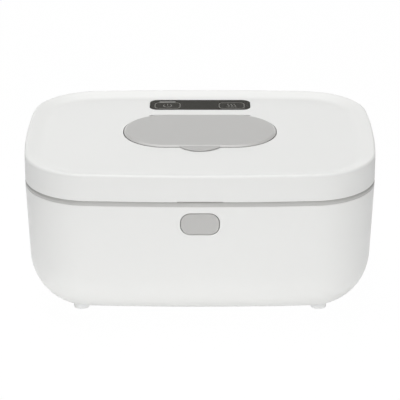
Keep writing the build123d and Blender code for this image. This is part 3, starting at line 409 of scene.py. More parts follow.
# %% Materials: acrylics
smoked, smoked_tree, smoked_shader = start_material(
    "smoked_acrylic", {"IOR": 1.4, "Coat Weight": 0.1, "Coat Roughness": 0.04, "Coat IOR": 1.45}
)
# The smoke's edges are painted much paler, as a painted highlight along the polished edge
smoke, smoke_edge_highlight = (0.034, 0.032, 0.026), (0.16, 0.155, 0.145)
lay_tone(smoked_tree, smoked_shader, smoke, smoke_edge_highlight, drift=0.2, size=30.0, edge_highlight_amount=0.4)
lay_grain(smoked_tree, smoked_shader, size=5200.0, depth=0.01, gloss=0.16, drift=0.1)

frosted, frosted_tree, frosted_shader = start_material(
    "frosted_light_guide", {"IOR": 1.49, "Transmission Weight": 0.3}
)
lay_tone(frosted_tree, frosted_shader, (0.78, 0.78, 0.77), drift=0.04, edge_highlight_amount=0.1)
lay_grain(frosted_tree, frosted_shader, size=3000.0, depth=0.3, gloss=0.55, drift=0.1)

# %% Materials: printed marks on the window
def screen_print(name, color):
    """A matt ink whose tone is a little uneven, as screen printing leaves it."""
    material, tree, shader = start_material(name, {"IOR": 1.45})
    lay_tone(tree, shader, color, drift=0.15, size=400.0, edge_highlight_amount=0.0)
    lay_grain(tree, shader, size=6000.0, depth=0.05, gloss=0.5, drift=0.1)
    return material


print_ink = screen_print("dark_grey_print", (0.235, 0.23, 0.213))
light_ink = screen_print("pale_grey_print", (0.41, 0.405, 0.39))

# %% [markdown]
# ## Soft materials
#
# The feet and the two seals are rubbery. Light enters milky rubber and leaves it again a few
# millimetres away, which subsurface scattering copies, and the surface is matt with a dusty bloom.

# %% Materials: rubber and silicone
def soft_rubber(name, color, clear, depth, gloss, grain):
    """A milky rubber that lets light in a little way."""
    material, tree, shader = start_material(
        name,
        {
            "IOR": 1.42,
            "Transmission Weight": clear,
            "Subsurface Weight": 0.5,
            "Subsurface Radius": (1.0, 1.0, 0.95),
            "Subsurface Scale": depth,
        },
    )
    lay_tone(tree, shader, color, edge_highlight=color, drift=0.05, size=90.0)
    lay_grain(tree, shader, size=1600.0, depth=grain, gloss=gloss, drift=0.12)
    return material


milky_rubber = soft_rubber(
    "milky_foot_rubber", color=(0.96, 0.965, 0.96), clear=0.12, depth=0.003, gloss=0.45, grain=0.1
)
pale_silicone = soft_rubber(
    "pale_silicone", color=(0.74, 0.74, 0.73), clear=0.0, depth=0.0015, gloss=0.42, grain=0.08
)

# %% [markdown]
# ## Metals
#
# Screws, pins and springs are zinc-plated steel, drawn or turned, so their surface is brushed along
# one way. A stretched noise makes those hairlines: it drives both a shallow bump and the roughness.

# %% Group: brushed hairlines
brush_group, brush_in, brush_out = start_group(
    "brushed hairlines",
    [("Stretch", "NodeSocketVector", (60.0, 2200.0, 2200.0)), ("Depth", "NodeSocketFloat", 0.1)],
    [("Normal", "NodeSocketVector"), ("Roughness", "NodeSocketFloat"), ("Line", "NodeSocketFloat")],
)
place = add_node(brush_group, "ShaderNodeTexCoord")
drawn = add_node(brush_group, "ShaderNodeVectorMath", operation="MULTIPLY")
join(brush_group, place.outputs["Object"], drawn.inputs[0])
join(brush_group, brush_in.outputs["Stretch"], drawn.inputs[1])
hairs = add_node(brush_group, "ShaderNodeTexNoise", {"Scale": 1.0, "Detail": 4.0})
join(brush_group, drawn.outputs["Vector"], hairs.inputs["Vector"])
scored = add_node(brush_group, "ShaderNodeBump", {"Distance": 0.0001})
join(brush_group, brush_in.outputs["Depth"], scored.inputs["Strength"])
join(brush_group, hairs.outputs["Fac"], scored.inputs["Height"])
join(brush_group, scored.outputs["Normal"], brush_out.inputs["Normal"])
dulled = add_node(brush_group, "ShaderNodeMapRange", {"To Min": 0.24, "To Max": 0.46})
join(brush_group, hairs.outputs["Fac"], dulled.inputs["Value"])
join(brush_group, dulled.outputs["Result"], brush_out.inputs["Roughness"])
join(brush_group, hairs.outputs["Fac"], brush_out.inputs["Line"])


# %% Materials: metals
def bare_metal(name, color, dull, stretch, depth):
    """A brushed metal whose hairlines shade between two tones."""
    material, tree, shader = start_material(name, {"Metallic": 1.0})
    lines = use_group(tree, brush_group, {"Stretch": stretch, "Depth": depth})
    shades = add_node(tree, "ShaderNodeMix", {6: (*dull, 1), 7: (*color, 1)}, data_type="RGBA")
    join(tree, lines.outputs["Line"], shades.inputs["Factor"])
    join(tree, shades.outputs[2], shader.inputs["Base Color"])
    join(tree, lines.outputs["Roughness"], shader.inputs["Roughness"])
    join(tree, lines.outputs["Normal"], shader.inputs["Normal"])
    return material


zinc_steel = bare_metal(
    "zinc_plated_steel", (0.72, 0.72, 0.73), dull=(0.52, 0.53, 0.55), stretch=(60, 2200, 2200), depth=0.15
)
sheet_aluminium = bare_metal(
    "sheet_aluminium", (0.86, 0.86, 0.87), dull=(0.74, 0.74, 0.76), stretch=(40, 1500, 1500), depth=0.1
)

# %% [markdown]
# ## Electrical finishes
#
# Few people see them, but the warmer can be opened: a green circuit board whose copper tracks show
# through the lacquer, an amber heater film with its zigzag element, grey foam full of closed cells,
# and wires in coloured sleeves.

# %% Material: circuit board
board_green, board_tree, board_shader = start_material(
    "green_circuit_board", {"Coat Weight": 0.5, "Coat Roughness": 0.15}
)
board_place = add_node(board_tree, "ShaderNodeTexCoord")
tracks = add_node(
    board_tree,
    "ShaderNodeTexBrick",
    {
        "Color1": (0.012, 0.16, 0.055, 1),
        "Color2": (0.010, 0.12, 0.045, 1),
        "Mortar": (0.05, 0.30, 0.11, 1),
        "Scale": 170.0,
        "Mortar Size": 0.035,
        "Brick Width": 0.9,
        "Row Height": 0.35,
    },
)
join(board_tree, board_place.outputs["Object"], tracks.inputs["Vector"])
board_tone = lay_tone(board_tree, board_shader, (0.8, 0.8, 0.8), drift=0.1, size=60.0, edge_highlight_amount=0.2)
join(board_tree, tracks.outputs["Color"], board_tone.inputs["Color"])
lay_grain(board_tree, board_shader, size=1800.0, depth=0.08, gloss=0.3, drift=0.1)

# %% Material: heater film
film_amber, film_tree, film_shader = start_material(
    "amber_heater_film", {"Coat Weight": 0.4, "Coat Roughness": 0.1}
)
film_place = add_node(film_tree, "ShaderNodeTexCoord")
element = add_node(film_tree, "ShaderNodeTexWave", {"Scale": 95.0, "Distortion": 0.4})
join(film_tree, film_place.outputs["Object"], element.inputs["Vector"])
element_edge = add_node(film_tree, "ShaderNodeMapRange", {"From Min": 0.62, "From Max": 0.7})
join(film_tree, element.outputs["Fac"], element_edge.inputs["Value"])
film_mix = add_node(
    film_tree, "ShaderNodeMix", {6: (0.66, 0.30, 0.06, 1), 7: (0.30, 0.12, 0.04, 1)}, data_type="RGBA"
)
join(film_tree, element_edge.outputs["Result"], film_mix.inputs["Factor"])
join(film_tree, film_mix.outputs[2], film_shader.inputs["Base Color"])
lay_grain(film_tree, film_shader, size=900.0, depth=0.1, gloss=0.25, drift=0.15)

# %% Material: closed-cell foam
foam_grey, foam_tree, foam_shader = start_material("grey_cell_foam", {"IOR": 1.4})
foam_place = add_node(foam_tree, "ShaderNodeTexCoord")
cells = add_node(foam_tree, "ShaderNodeTexVoronoi", {"Scale": 900.0})
join(foam_tree, foam_place.outputs["Object"], cells.inputs["Vector"])
# The pits of the cells, where the bump sinks, are painted darker, as painted shade in them
cell_pit_shade = add_node(
    foam_tree, "ShaderNodeMix", {6: (0.16, 0.16, 0.165, 1), 7: (0.33, 0.33, 0.335, 1)}, data_type="RGBA"
)
join(foam_tree, cells.outputs["Distance"], cell_pit_shade.inputs["Factor"])
cell_relief = add_node(foam_tree, "ShaderNodeBump", {"Strength": 0.6, "Distance": 0.0003})
join(foam_tree, cells.outputs["Distance"], cell_relief.inputs["Height"])
foam_surface = use_group(
    foam_tree, grain_group, {"Grain Size": 500.0, "Grain Depth": 0.2, "Gloss": 0.85, "Gloss Drift": 0.1}
)
join(foam_tree, cell_pit_shade.outputs[2], foam_shader.inputs["Base Color"])
join(foam_tree, foam_surface.outputs["Roughness"], foam_shader.inputs["Roughness"])
join(foam_tree, cell_relief.outputs["Normal"], foam_shader.inputs["Normal"])

# %% Materials: wire sleeves
def wire_sleeve(name, color, edge_highlight):
    """A soft sleeve with a fine grain, the same in every colour."""
    return moulded_plastic(name, color, edge_highlight, gloss=0.45, grain=0.1, drift=0.1, edge_highlight_amount=0.2, size=1200.0)


black_sleeve = wire_sleeve("black_wire_sleeve", (0.03, 0.03, 0.032), (0.1, 0.1, 0.1))
red_sleeve = wire_sleeve("red_wire_sleeve", (0.46, 0.03, 0.022), (0.6, 0.1, 0.08))

# %% [markdown]
# ## Dress the solids that stay
#
# A solid whose shape is already right keeps its mesh and only gets its finish. The record names a
# material slot for every solid, so one table turns slots into finishes.

# %% Give every solid its finish
finishes = {
    "white_plastic": white_shell,
    "tub_plastic": tub_white,
    "grey_plastic": warm_grey,
    "dark_window": smoked,
    "clear_plastic": frosted,
    "foot_rubber": milky_rubber,
    "silicone": pale_silicone,
    "steel": zinc_steel,
    "aluminium": sheet_aluminium,
    "heater_film": film_amber,
    "foam": foam_grey,
    "black_plastic": black_shell,
    "board_green": board_green,
    "wire_black": black_sleeve,
    "wire_red": red_sleeve,
}
for part in frame["record"]["subparts"]:
    for slot in nodes[part["node"]].material_slots:
        slot.material = finishes[part["material_slot"]]
print("finishes:", len(finishes))

# %% [markdown]
# ## Drawing a shell from its outline and its profile
#
# Most parts of this warmer are the same idea: an outline seen from above, and a profile that says how
# far in and how high each line of the surface lies. So every shell is drawn in the same way. A circle
# is added with one vertex for each point of the outline, and it is extruded again and again, each time
# to the next line of the profile. Because each point knows its own direction inwards, rounded corners
# stay round at every inset.

# %% Outlines
def arc_point(centre, radius, turn):
    """A point on an arc and its direction inwards: x, y, inward x and inward y, in millimetres."""
    return centre[0] + radius * cos(turn), centre[1] + radius * sin(turn), -cos(turn), -sin(turn)


def arc_points(centre, radius, start, end, steps):
    """The points of an arc, without its last one."""
    turns = [start + (end - start) * step / steps for step in range(steps)]
    return [arc_point(centre, radius, turn) for turn in turns]


def rounded_outline(length, depth, radius, middle=(0, 0), steps=12):
    """A rectangle with round corners, anticlockwise from its right side."""
    half_x, half_y = length / 2 - radius, depth / 2 - radius
    points = []
    for corner, (side_x, side_y) in enumerate(((1, 1), (-1, 1), (-1, -1), (1, -1))):
        centre = (middle[0] + side_x * half_x, middle[1] + side_y * half_y)
        start, end = corner * pi / 2, (corner + 1) * pi / 2
        points += arc_points(centre, radius, start, end, steps) + [arc_point(centre, radius, end)]
    return points


def round_outline(radius, middle=(0, 0), steps=48):
    """A circle."""
    return arc_points(middle, radius, 0, 2 * pi, steps)


# %% The warmer's plan: long bowed sides joined by tangent corner arcs
width, depth, corner_radius = 220.0, 158.2, 41.0
front_bow, side_bow = 5.3, 6.3
long_radius = ((width / 2) ** 2 + front_bow**2) / (2 * front_bow)
short_radius = ((depth / 2) ** 2 + side_bow**2) / (2 * side_bow)


def warmer_outline(long_steps=14, corner_steps=18, short_steps=10):
    """Eight tangent arcs, worked out for one quarter and mirrored into the others."""
    long_centre = Vector((0, depth / 2 - long_radius))
    short_centre = Vector((width / 2 - short_radius, 0))
    long_reach, short_reach = long_radius - corner_radius, short_radius - corner_radius
    span = short_centre - long_centre
    along = (span.length**2 + long_reach**2 - short_reach**2) / (2 * span.length)
    across = sqrt(long_reach**2 - along**2)
    towards = span.normalized()
    corner = long_centre + towards * along + Vector((towards.y, -towards.x)) * across
    to_short, to_long = corner - short_centre, corner - long_centre
    short_turn = atan(to_short.y / to_short.x)
    long_turn = pi / 2 - atan(to_long.x / to_long.y)
    quarter = arc_points(short_centre, short_radius, 0, short_turn, short_steps // 2)
    quarter += arc_points(corner, corner_radius, short_turn, long_turn, corner_steps)
    quarter += arc_points(long_centre, long_radius, long_turn, pi / 2, long_steps // 2)
    top = (0.0, depth / 2, 0.0, -1.0)
    half = quarter + [top] + [(-x, y, -u, v) for x, y, u, v in quarter[:0:-1]]
    left = (-width / 2, 0.0, 1.0, 0.0)
    return half + [left] + [(x, -y, u, -v) for x, y, u, v in half[:0:-1]]


plan = warmer_outline()
print("the plan has", len(plan), "points and is", 2 * max(p[0] for p in plan), "wide")


# %% Modelling helpers
def nothing_selected():
    """Operators act on all that is selected, so each piece starts from an empty selection."""
    if bpy.context.mode != "OBJECT":
        bpy.ops.object.mode_set(mode="OBJECT")
    bpy.ops.object.select_all(action="DESELECT")


def select_only(piece):
    """Make one object the selected and active one."""
    nothing_selected()
    piece.select_set(True)
    bpy.context.view_layer.objects.active = piece


def set_line(piece, outline, inset, height):
    """Move the selected ring of vertices onto the outline at an inset and a height."""
    mesh = bmesh.from_edit_mesh(piece.data)
    number = mesh.verts.layers.int["place"]
    for vertex in mesh.verts:
        if vertex.select:
            x, y, inward_x, inward_y = outline[vertex[number]]
            vertex.co = Vector((x + inward_x * inset, y + inward_y * inset, height)) * mm
    bmesh.update_edit_mesh(piece.data)


def draw_shell(name, outline, profile, ring=False):
    """Extrude an outline from line to line of a profile of (inset, height). A ring closes on itself."""
    nothing_selected()
    bpy.ops.mesh.primitive_circle_add(vertices=len(outline), fill_type="NOTHING" if ring else "NGON")
    piece = bpy.context.object
    piece.name = piece.data.name = name
    numbers = piece.data.attributes.new("place", "INT", "POINT")
    for vertex in piece.data.vertices:
        numbers.data[vertex.index].value = vertex.index
    bpy.ops.object.mode_set(mode="EDIT")
    bpy.ops.mesh.select_all(action="SELECT")
    set_line(piece, outline, *profile[0])
    for line in profile[1:] + (profile[:1] if ring else []):
        bpy.ops.mesh.extrude_region_move()
        set_line(piece, outline, *line)
    bpy.ops.mesh.select_all(action="SELECT")
    if ring:
        bpy.ops.mesh.remove_doubles(threshold=0.001 * mm)
    bpy.ops.mesh.normals_make_consistent(inside=False)
    bpy.ops.object.mode_set(mode="OBJECT")
    return piece


def arc_lines(inset, height, reach_in, reach_up, start, end, steps):
    """Profile lines on a quarter of an ellipse. Turns are in degrees, 0 outwards and 90 upwards."""
    lines = []
    for step in range(steps + 1):
        turn = radians(start + (end - start) * step / steps)
        lines.append((inset - reach_in * cos(turn), height + reach_up * sin(turn)))
    return lines


def combine(piece, other, operation):
    """Cut, join or cross one piece with another one, which is used up."""
    select_only(piece)
    bpy.ops.object.modifier_add(type="BOOLEAN")
    piece.modifiers[-1].operation = operation
    piece.modifiers[-1].solver = "EXACT"
    piece.modifiers[-1].object = other
    bpy.ops.object.modifier_apply(modifier=piece.modifiers[-1].name)
    bpy.data.objects.remove(other)


def block(name, low, high):
    """A plain box between two corners, used only to cut with."""
    nothing_selected()
    bpy.ops.mesh.primitive_cube_add(size=1.0)
    piece = bpy.context.object
    piece.name = name
    size = Vector(high) - Vector(low)
    middle = (Vector(high) + Vector(low)) / 2
    piece.data.transform(Matrix.Translation(middle * mm) @ Matrix.Diagonal((*(size * mm), 1)))
    return piece


def soften(piece, angle):
    """Shade a piece smoothly up to an angle between faces, with its flat faces kept flat."""
    select_only(piece)
    bpy.ops.object.shade_smooth_by_angle(angle=radians(angle))
    bpy.ops.object.modifier_add(type="WEIGHTED_NORMAL")
    piece.modifiers[-1].keep_sharp = True
    bpy.ops.object.modifier_apply(modifier=piece.modifiers[-1].name)


def dress(piece, material, slot, body, *stands_for):
    """Give a finished piece its material, set it on its body and hide the solids it stands for. The slot
    argument is not used.
    """
    piece.data.materials.clear()
    piece.data.materials.append(material)
    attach(piece, body)
    if stands_for:
        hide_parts(*stands_for)
    print(piece.name, len(piece.data.polygons), "faces")


def saw(piece, *planes):
    """Keep what lies behind each plane of (point, normal), and close each cut."""
    select_only(piece)
    bpy.ops.object.mode_set(mode="EDIT")
    for point, normal in planes:
        bpy.ops.mesh.select_all(action="SELECT")
        bpy.ops.mesh.bisect(
            plane_co=Vector(point) * mm,
            plane_no=normal,
            use_fill=True,
            clear_outer=True,
            threshold=0.0001 * mm,
        )
    bpy.ops.object.mode_set(mode="OBJECT")
    return piece


def copy_of(piece, name):
    """Copy a piece, with a mesh of its own."""
    copied = bpy.data.objects.new(name, piece.data.copy())
    copied.data.name = name
    scene.collection.objects.link(copied)
    return copied


def box_of_solid(name, node, low, high):
    """Copy a solid, merge its loose triangles and keep what lies in a box."""
    piece = copy_of(nodes[node], name)
    select_only(piece)
    bpy.ops.object.mode_set(mode="EDIT")
    bpy.ops.mesh.select_all(action="SELECT")
    bpy.ops.mesh.remove_doubles(threshold=0.0005 * mm)
    planes = [(low, tuple(-1 if axis == turn else 0 for axis in range(3))) for turn in range(3)]
    planes += [(high, tuple(1 if axis == turn else 0 for axis in range(3))) for turn in range(3)]
    return saw(piece, *planes)


# %% [markdown]
# ## The lid
#
# The lid is one moulding: a low wall, a thin crest that catches the light, and a shallow dish that
# slopes down to a flat panel. Where the slope meets the panel it eases out in a long soft curve, which
# is why the panel's edge looks blurred. The profile below is walked from the inside of the lid, round
# its lower rim, up the wall, over the crest and down into the dish.

# %% Lid: heights and profile
lid_bottom, lid_top, panel_height = 85.5, 102.3, 99.8
lid_wall, crest_radius = 2.4, 1.6
outer_edge, inner_edge = 0.5, 0.4  # the rounding of the lower rim
crest_inset, slope_start, slope_end = 1.9, 2.3, 10.4
slope_angle = atan((lid_top - panel_height) / (slope_end - crest_inset))
ease_radius, slope_steps, ease_steps = 16.0, 4, 6
ease_reach = ease_radius * tan(slope_angle / 2)

lid_profile = [(lid_wall + 3.0, panel_height - lid_wall), (lid_wall, panel_height - lid_wall)]
lid_profile += arc_lines(lid_wall - inner_edge, lid_bottom + inner_edge, -inner_edge, inner_edge, 0, -90, 3)
lid_profile += arc_lines(outer_edge, lid_bottom + outer_edge, outer_edge, outer_edge, -90, 0, 4)
lid_profile += arc_lines(crest_radius, lid_top - crest_radius, crest_radius, crest_radius, 0, 82, 9)
lid_profile += [(1.75, lid_top - 0.002), (2.1, lid_top - 0.045)]
ease_start = slope_end - ease_reach * cos(slope_angle)
for step in range(slope_steps + 1):
    inset = slope_start + (ease_start - slope_start) * step / slope_steps
    lid_profile.append((inset, lid_top - (inset - crest_inset) * tan(slope_angle)))
for step in range(1, ease_steps + 1):
    turn = slope_angle * (1 - step / ease_steps)
    inset = slope_end + ease_reach - ease_radius * sin(turn)
    lid_profile.append((inset, panel_height + ease_radius * (1 - cos(turn))))
lid_profile.append((slope_end + ease_reach + 1.5, panel_height))
lid = draw_shell("lid_cover", plan, lid_profile)
print("the dish slopes by", round(slope_angle * 180 / pi, 1), "degrees")

# %% [markdown]
# The flap lies in a well, and a trough behind it leaves room for its rear edge as it swings up. Each is
# first added to the lid as a solid block, which gives it its walls, and then hollowed out by a smaller
# block, as a core does in a mould. Booleans do both, because the shapes meet the dish's slope at an
# angle that would be hard to model by hand.

# %% Lid: the well for the flap
flap_length, flap_width, flap_corner, flap_middle = 97.0, 58.0, 27.5, 5.6
well_gap, well_wall, well_floor = 0.5, 2.0, 94.6
flap_rear = flap_middle + flap_width / 2
trough_half, trough_rear, trough_corner, trough_rim = 33.02, flap_rear + 1.9, 2.5, 0.35
clear_above = 5.0  # how far a cutting block stands above what it cuts


def well_block(name, spare, low, high):
    """The flap's outline with some space round it, as a block to add or cut."""
    length, breadth = flap_length + 2 * spare, flap_width + 2 * spare
    outline = rounded_outline(length, breadth, flap_corner + spare, (0, flap_middle), 24)
    return draw_shell(name, outline, [(0, low), (0, high)])


def trough_block(name, spare, low, high):
    """The trough that leaves room for the flap's rear edge as it swings up."""
    rear = trough_rear + spare
    outline = rounded_outline(2 * (trough_half + spare), rear, trough_corner, (0, rear / 2), 6)
    profile = [(0, low)]
    if not spare:  # what cuts the trough also rounds its rim
        profile += arc_lines(-trough_rim, panel_height - trough_rim, -trough_rim, trough_rim, 0, 90, 4)
    profile += [(0 if spare else -0.6, high)]
    return draw_shell(name, outline, profile)


# Heights that nearly agree differ by a hair, so that no face of a block lies on a face of another one
hair = 0.001
well_foot, underside = well_floor - lid_wall, panel_height - lid_wall + 0.2
combine(lid, well_block("well_walls", well_gap + well_wall, well_foot, underside), "UNION")
combine(lid, trough_block("trough_walls", well_wall, well_foot - hair, underside + 10 * hair), "UNION")
combine(lid, well_block("well_cut", well_gap, well_floor, panel_height + clear_above), "DIFFERENCE")
trough_cut = trough_block("trough_cut", 0, well_floor + hair, panel_height + clear_above + 0.5)
ramp_edge, ramp_slope = 33.2, (2.3, -7.2)  # the trough's two ends slope up to the panel
for side in (1, -1):
    saw(trough_cut, ((side * ramp_edge, 0, panel_height), (side * ramp_slope[0], 0, ramp_slope[1])))
combine(lid, trough_cut, "DIFFERENCE")
print("the well is", round(panel_height - well_floor, 1), "deep")

# %% [markdown]
# Three openings are left in the lid: the pocket for the touch window, the hole for the dispensing mouth
# and a notch in the lower rim for a fingertip. Two of them are round-cornered blocks cut through the
# panel, so a helper does both, and it is used again for the body's bottom cover.

# %% Lid: window pocket, mouth opening and finger notch
def opening_cut(piece, name, size, corner, middle, low, high, steps):
    """Cut a round-cornered opening through a piece."""
    outline = rounded_outline(*size, corner, middle, steps)
    combine(piece, draw_shell(name, outline, [(0, low), (0, high)]), "DIFFERENCE")


window_middle, window_size, window_corner, window_sheet = (0, 55.5), (66.3, 19.3), 5.5, 1.2
mouth_length, mouth_depth, fit_gap = 63.6, 23.6, 0.15
pocket_size, pocket_corner = [side + 2 * fit_gap for side in window_size], window_corner + fit_gap
pocket_floor, pocket_top = panel_height - window_sheet, panel_height + clear_above
opening_cut(lid, "pocket_cut", pocket_size, pocket_corner, window_middle, pocket_floor, pocket_top, steps=10)
hole_size = (mouth_length + 2 * fit_gap, mouth_depth + 2 * fit_gap)
hole_corner = hole_size[1] / 2 - 0.01
opening_cut(lid, "mouth_cut", hole_size, hole_corner, (0, 0), well_floor - 5, well_floor + 1, steps=16)
notch_half, notch_reach, notch_height = 14, 1.2, 0.7
notch_low, notch_high = (-notch_half, -depth, lid_bottom - 1), (notch_half, notch_reach - depth / 2)
combine(lid, block("notch_cut", notch_low, (*notch_high, lid_bottom + notch_height)), "DIFFERENCE")
soften(lid, angle=28)
dress(lid, white_shell, "white_plastic", "lid", "lid_shell")

# %% [markdown]
# The knuckles of the lid's hinge and the two pairs of ears that hold the flap's pins are plain turned
# shapes, and the solid already has them exactly. They are cut out of a copy of it with bisecting
# planes, as with a saw, and each cut is closed. The planes run inside the wall that a knuckle grows
# from, or a hair above the floor that an ear stands on, so that no copied face lies on a modelled one.

# %% Lid: hinge knuckles and flap ears
hinge_station, lid_knuckle_half = 47.0, 7.02
knuckle_front, knuckle_rear, knuckle_low, knuckle_high = depth / 2 - 2.1, 90, 79, 93.4
for side, hand in ((1, "right"), (-1, "left")):
    low = (side * hinge_station - lid_knuckle_half, knuckle_front, knuckle_low)
    high = (side * hinge_station + lid_knuckle_half, knuckle_rear, knuckle_high)
    knuckle = box_of_solid(f"lid_knuckle_{hand}", "lid_shell", low, high)
    soften(knuckle, angle=30)
    dress(knuckle, white_shell, "white_plastic", "lid", "lid_shell")

pin_y, pin_z = 33.8, 98.7  # the flap's pins
ear_starts, ear_width = (-27.8, -15.2, 12.2, 24.8), 3.0
ears_low, ears_high = (-30, pin_y - 3.6, well_floor + 2 * hair), (30, pin_y + 1.6, pin_z + 1.6)
ears = box_of_solid("flap_pin_ears", "lid_shell", ears_low, ears_high)
soften(ears, angle=30)
dress(ears, white_shell, "white_plastic", "lid", "lid_shell")

# %% [markdown]
# ## The dispensing flap
#
# The flap is a thin grey lid over the slot that the wipes come through. Its top is flat, its edge is
# bevelled so that it catches the light, its side steps in below the bevel, and a skirt hides in the
# well. At the front a crescent grows out of the edge for a fingertip. The plate and its skirt are one
# profile walked round the flap's outline. The crescent is part of a disc, sawn straight and joined on.
# Two knuckles under the rear edge turn on the pins, and round pockets beside them leave room for the
# lid's ears.

# %% Flap: plate, skirt, finger crescent and knuckles
flap_top, flap_plate = 101.0, 2.0
skirt_wall, skirt_low = 1.5, 96.9
flap_front = flap_middle - flap_width / 2
flap_outline = rounded_outline(flap_length, flap_width, flap_corner, (0, flap_middle), 24)
flap_profile = [(skirt_wall + 2.5, flap_top - flap_plate), (skirt_wall, flap_top - flap_plate)]
flap_profile += [(skirt_wall, skirt_low + 0.2), (skirt_wall - 0.2, skirt_low), (0.6, skirt_low)]
flap_profile += [(0.35, skirt_low + 0.3), (0.35, flap_top - 1.7), (0.05, flap_top - 1.1)]
flap_profile += [(0, flap_top - 1.02), (0.03, flap_top - 0.94), (0.1, flap_top - 0.87)]
flap_profile += [(1.1, flap_top - 0.17), (1.35, flap_top - 0.06), (1.65, flap_top), (3.0, flap_top)]
flap = draw_shell("flap_lid", flap_outline, flap_profile)
skirt_end = pin_y - 3.5
skirt_rear = block("skirt_cut", (-60, skirt_end, 90), (60, 60, flap_top - flap_plate))
combine(flap, skirt_rear, "DIFFERENCE")

tab_width, tab_reach, tab_low, tab_high = 25.4, 7.6, 99.95, 100.58
tab_radius = ((tab_width / 2) ** 2 + tab_reach**2) / (2 * tab_reach)
tab_outline = round_outline(tab_radius, (0, flap_front - tab_reach + tab_radius), 96)
tab_profile = [(2.6, tab_low), (1.8, tab_low + 0.1), (0.3, tab_low + 0.34), (0.05, tab_low + 0.37)]
tab_profile += arc_lines(0.4, tab_high - 0.24, 0.4, 0.2, 0, 70, 4)
tab_profile += [(0.8, tab_high - 0.03), (1.4, tab_high)]
tab = draw_shell("finger_crescent", tab_outline, tab_profile)
saw(tab, ((0, flap_front + 0.75, 0), (0, 1, 0)))
combine(flap, tab, "UNION")


def pin_rod(name, start, end, radius):
    """A plain rod along the flap's pin."""
    rod = draw_shell(name, round_outline(radius, steps=32), [(0, start), (0, end)])
    rod.data.transform(Matrix.Translation(Vector((0, pin_y, pin_z)) * mm) @ Matrix.Rotation(pi / 2, 4, "Y"))
    return rod


pocket_radius, pocket_gap = 1.7, 0.3
knuckle_radius, knuckle_half, bore_radius = 1.4, 4.5, 0.79
for start in ear_starts:
    ends = (start - pocket_gap, start + ear_width + pocket_gap)
    combine(flap, pin_rod("ear_pocket", *ends, pocket_radius), "DIFFERENCE")
for knuckle in (-20, 20):
    ends = (knuckle - knuckle_half, knuckle + knuckle_half)
    combine(flap, pin_rod("flap_knuckle", *ends, knuckle_radius), "UNION")
    combine(flap, pin_rod("pin_bore", ends[0] - 0.1, ends[1] + 0.1, bore_radius), "DIFFERENCE")
soften(flap, angle=30)
dress(flap, warm_grey, "grey_plastic", "flap", "flap_cover")

# %% [markdown]
# ## The seals and the dispensing mouth
#
# A soft ring under the flap presses on the mouth and keeps the wipes moist, and a larger gasket in the
# lid presses on the tub's rim. The mouth itself is a stadium-shaped sleeve whose rim is rounded over, so
# that a wipe is pulled past it without a tear. All three are rings: a closed profile walked round an
# outline, whose last line is welded to its first.

# %% Dispensing mouth
mouth_wall, mouth_top = 1.8, 97.0
liner_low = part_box("dispensing_mouth")[0][2] / mm
mouth_outline = rounded_outline(mouth_length, mouth_depth, mouth_depth / 2 - 0.01, steps=20)
flange_reach, flange_top = 4.0, well_floor + 1.4
lip = mouth_wall / 2
mouth_profile = [(0, liner_low), (0, well_floor), (-flange_reach, well_floor)]
mouth_profile += arc_lines(-flange_reach + 0.5, flange_top - 0.5, 0.5, 0.5, 0, 90, 4)
mouth_profile += [(-0.6, flange_top), (-0.18, flange_top + 0.18), (0, flange_top + 0.6)]
mouth_profile += arc_lines(lip, mouth_top - lip, lip, lip, 0, 180, 12)
mouth_profile += [(mouth_wall, liner_low)]
mouth = draw_shell("mouth_sleeve", mouth_outline, mouth_profile, ring=True)
soften(mouth, angle=35)
dress(mouth, white_shell, "white_plastic", "lid", "dispensing_mouth")

# %% Flap seal and lid gasket
seal_wall = 1.6
seal_low, seal_high = (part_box("flap_seal")[end][2] / mm for end in (0, 1))
seal_lip = seal_wall / 2
seal_profile = [(seal_wall, seal_high), (0, seal_high)]
seal_profile += arc_lines(seal_lip, seal_low + seal_lip, seal_lip, seal_lip, 0, -180, 12)
flap_ring = draw_shell("flap_seal_ring", mouth_outline, seal_profile, ring=True)
soften(flap_ring, angle=40)
dress(flap_ring, pale_silicone, "silicone", "flap", "flap_seal")

gasket_low_corner, gasket_high_corner = (Vector(corner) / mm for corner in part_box("lid_seal"))
gasket_size = gasket_high_corner - gasket_low_corner
low, high = gasket_low_corner.z, gasket_high_corner.z
gasket_width, gasket_corner, shoulder, neck, neck_inset = 2.5, 24.97, high - 1.1, high - 1.3, 0.35
bulb_reach, bulb_height = gasket_width / 2 - 0.15, 0.5
gasket_outline = rounded_outline(gasket_size.x, gasket_size.y, gasket_corner, steps=20)
gasket_profile = [(gasket_width, high), (0, high), (0, shoulder), (neck_inset, neck)]
gasket_profile += arc_lines(gasket_width / 2, low + bulb_height, bulb_reach, bulb_height, 0, -180, 10)
gasket_profile += [(gasket_width - neck_inset, neck), (gasket_width, shoulder)]
gasket = draw_shell("lid_gasket", gasket_outline, gasket_profile, ring=True)
soften(gasket, angle=40)
dress(gasket, pale_silicone, "silicone", "lid", "lid_seal")
print("the gasket is", [round(side, 1) for side in gasket_size], "mm")

# %% [markdown]
# ## The touch window and its marks
#
# The window is a smoked sheet in a shallow pocket, with a fine polished edge. Its marks are printed on
# top: an outline round each key, the symbol for power, three waves for warmth, and the bar that lights
# up. Each mark is drawn as a thin curve with a round bevel, made a mesh and pressed nearly flat, as a
# real print stands a few hundredths of a millimetre above the sheet.

# %% Window
polished = 0.14  # the radius of the polished edge
window_outline = rounded_outline(*window_size, window_corner, window_middle, 12)
window_profile = [(0, pocket_floor)]
window_profile += arc_lines(polished, panel_height - polished, polished, polished, 0, 90, 3)
window_profile += [(0.5, panel_height)]
window = draw_shell("smoked_window", window_outline, window_profile)
soften(window, angle=40)
dress(window, smoked, "dark_window", "lid", "touch_window")

# %% Printed marks: a helper that prints lines
stroke, print_height = 0.42, 0.035


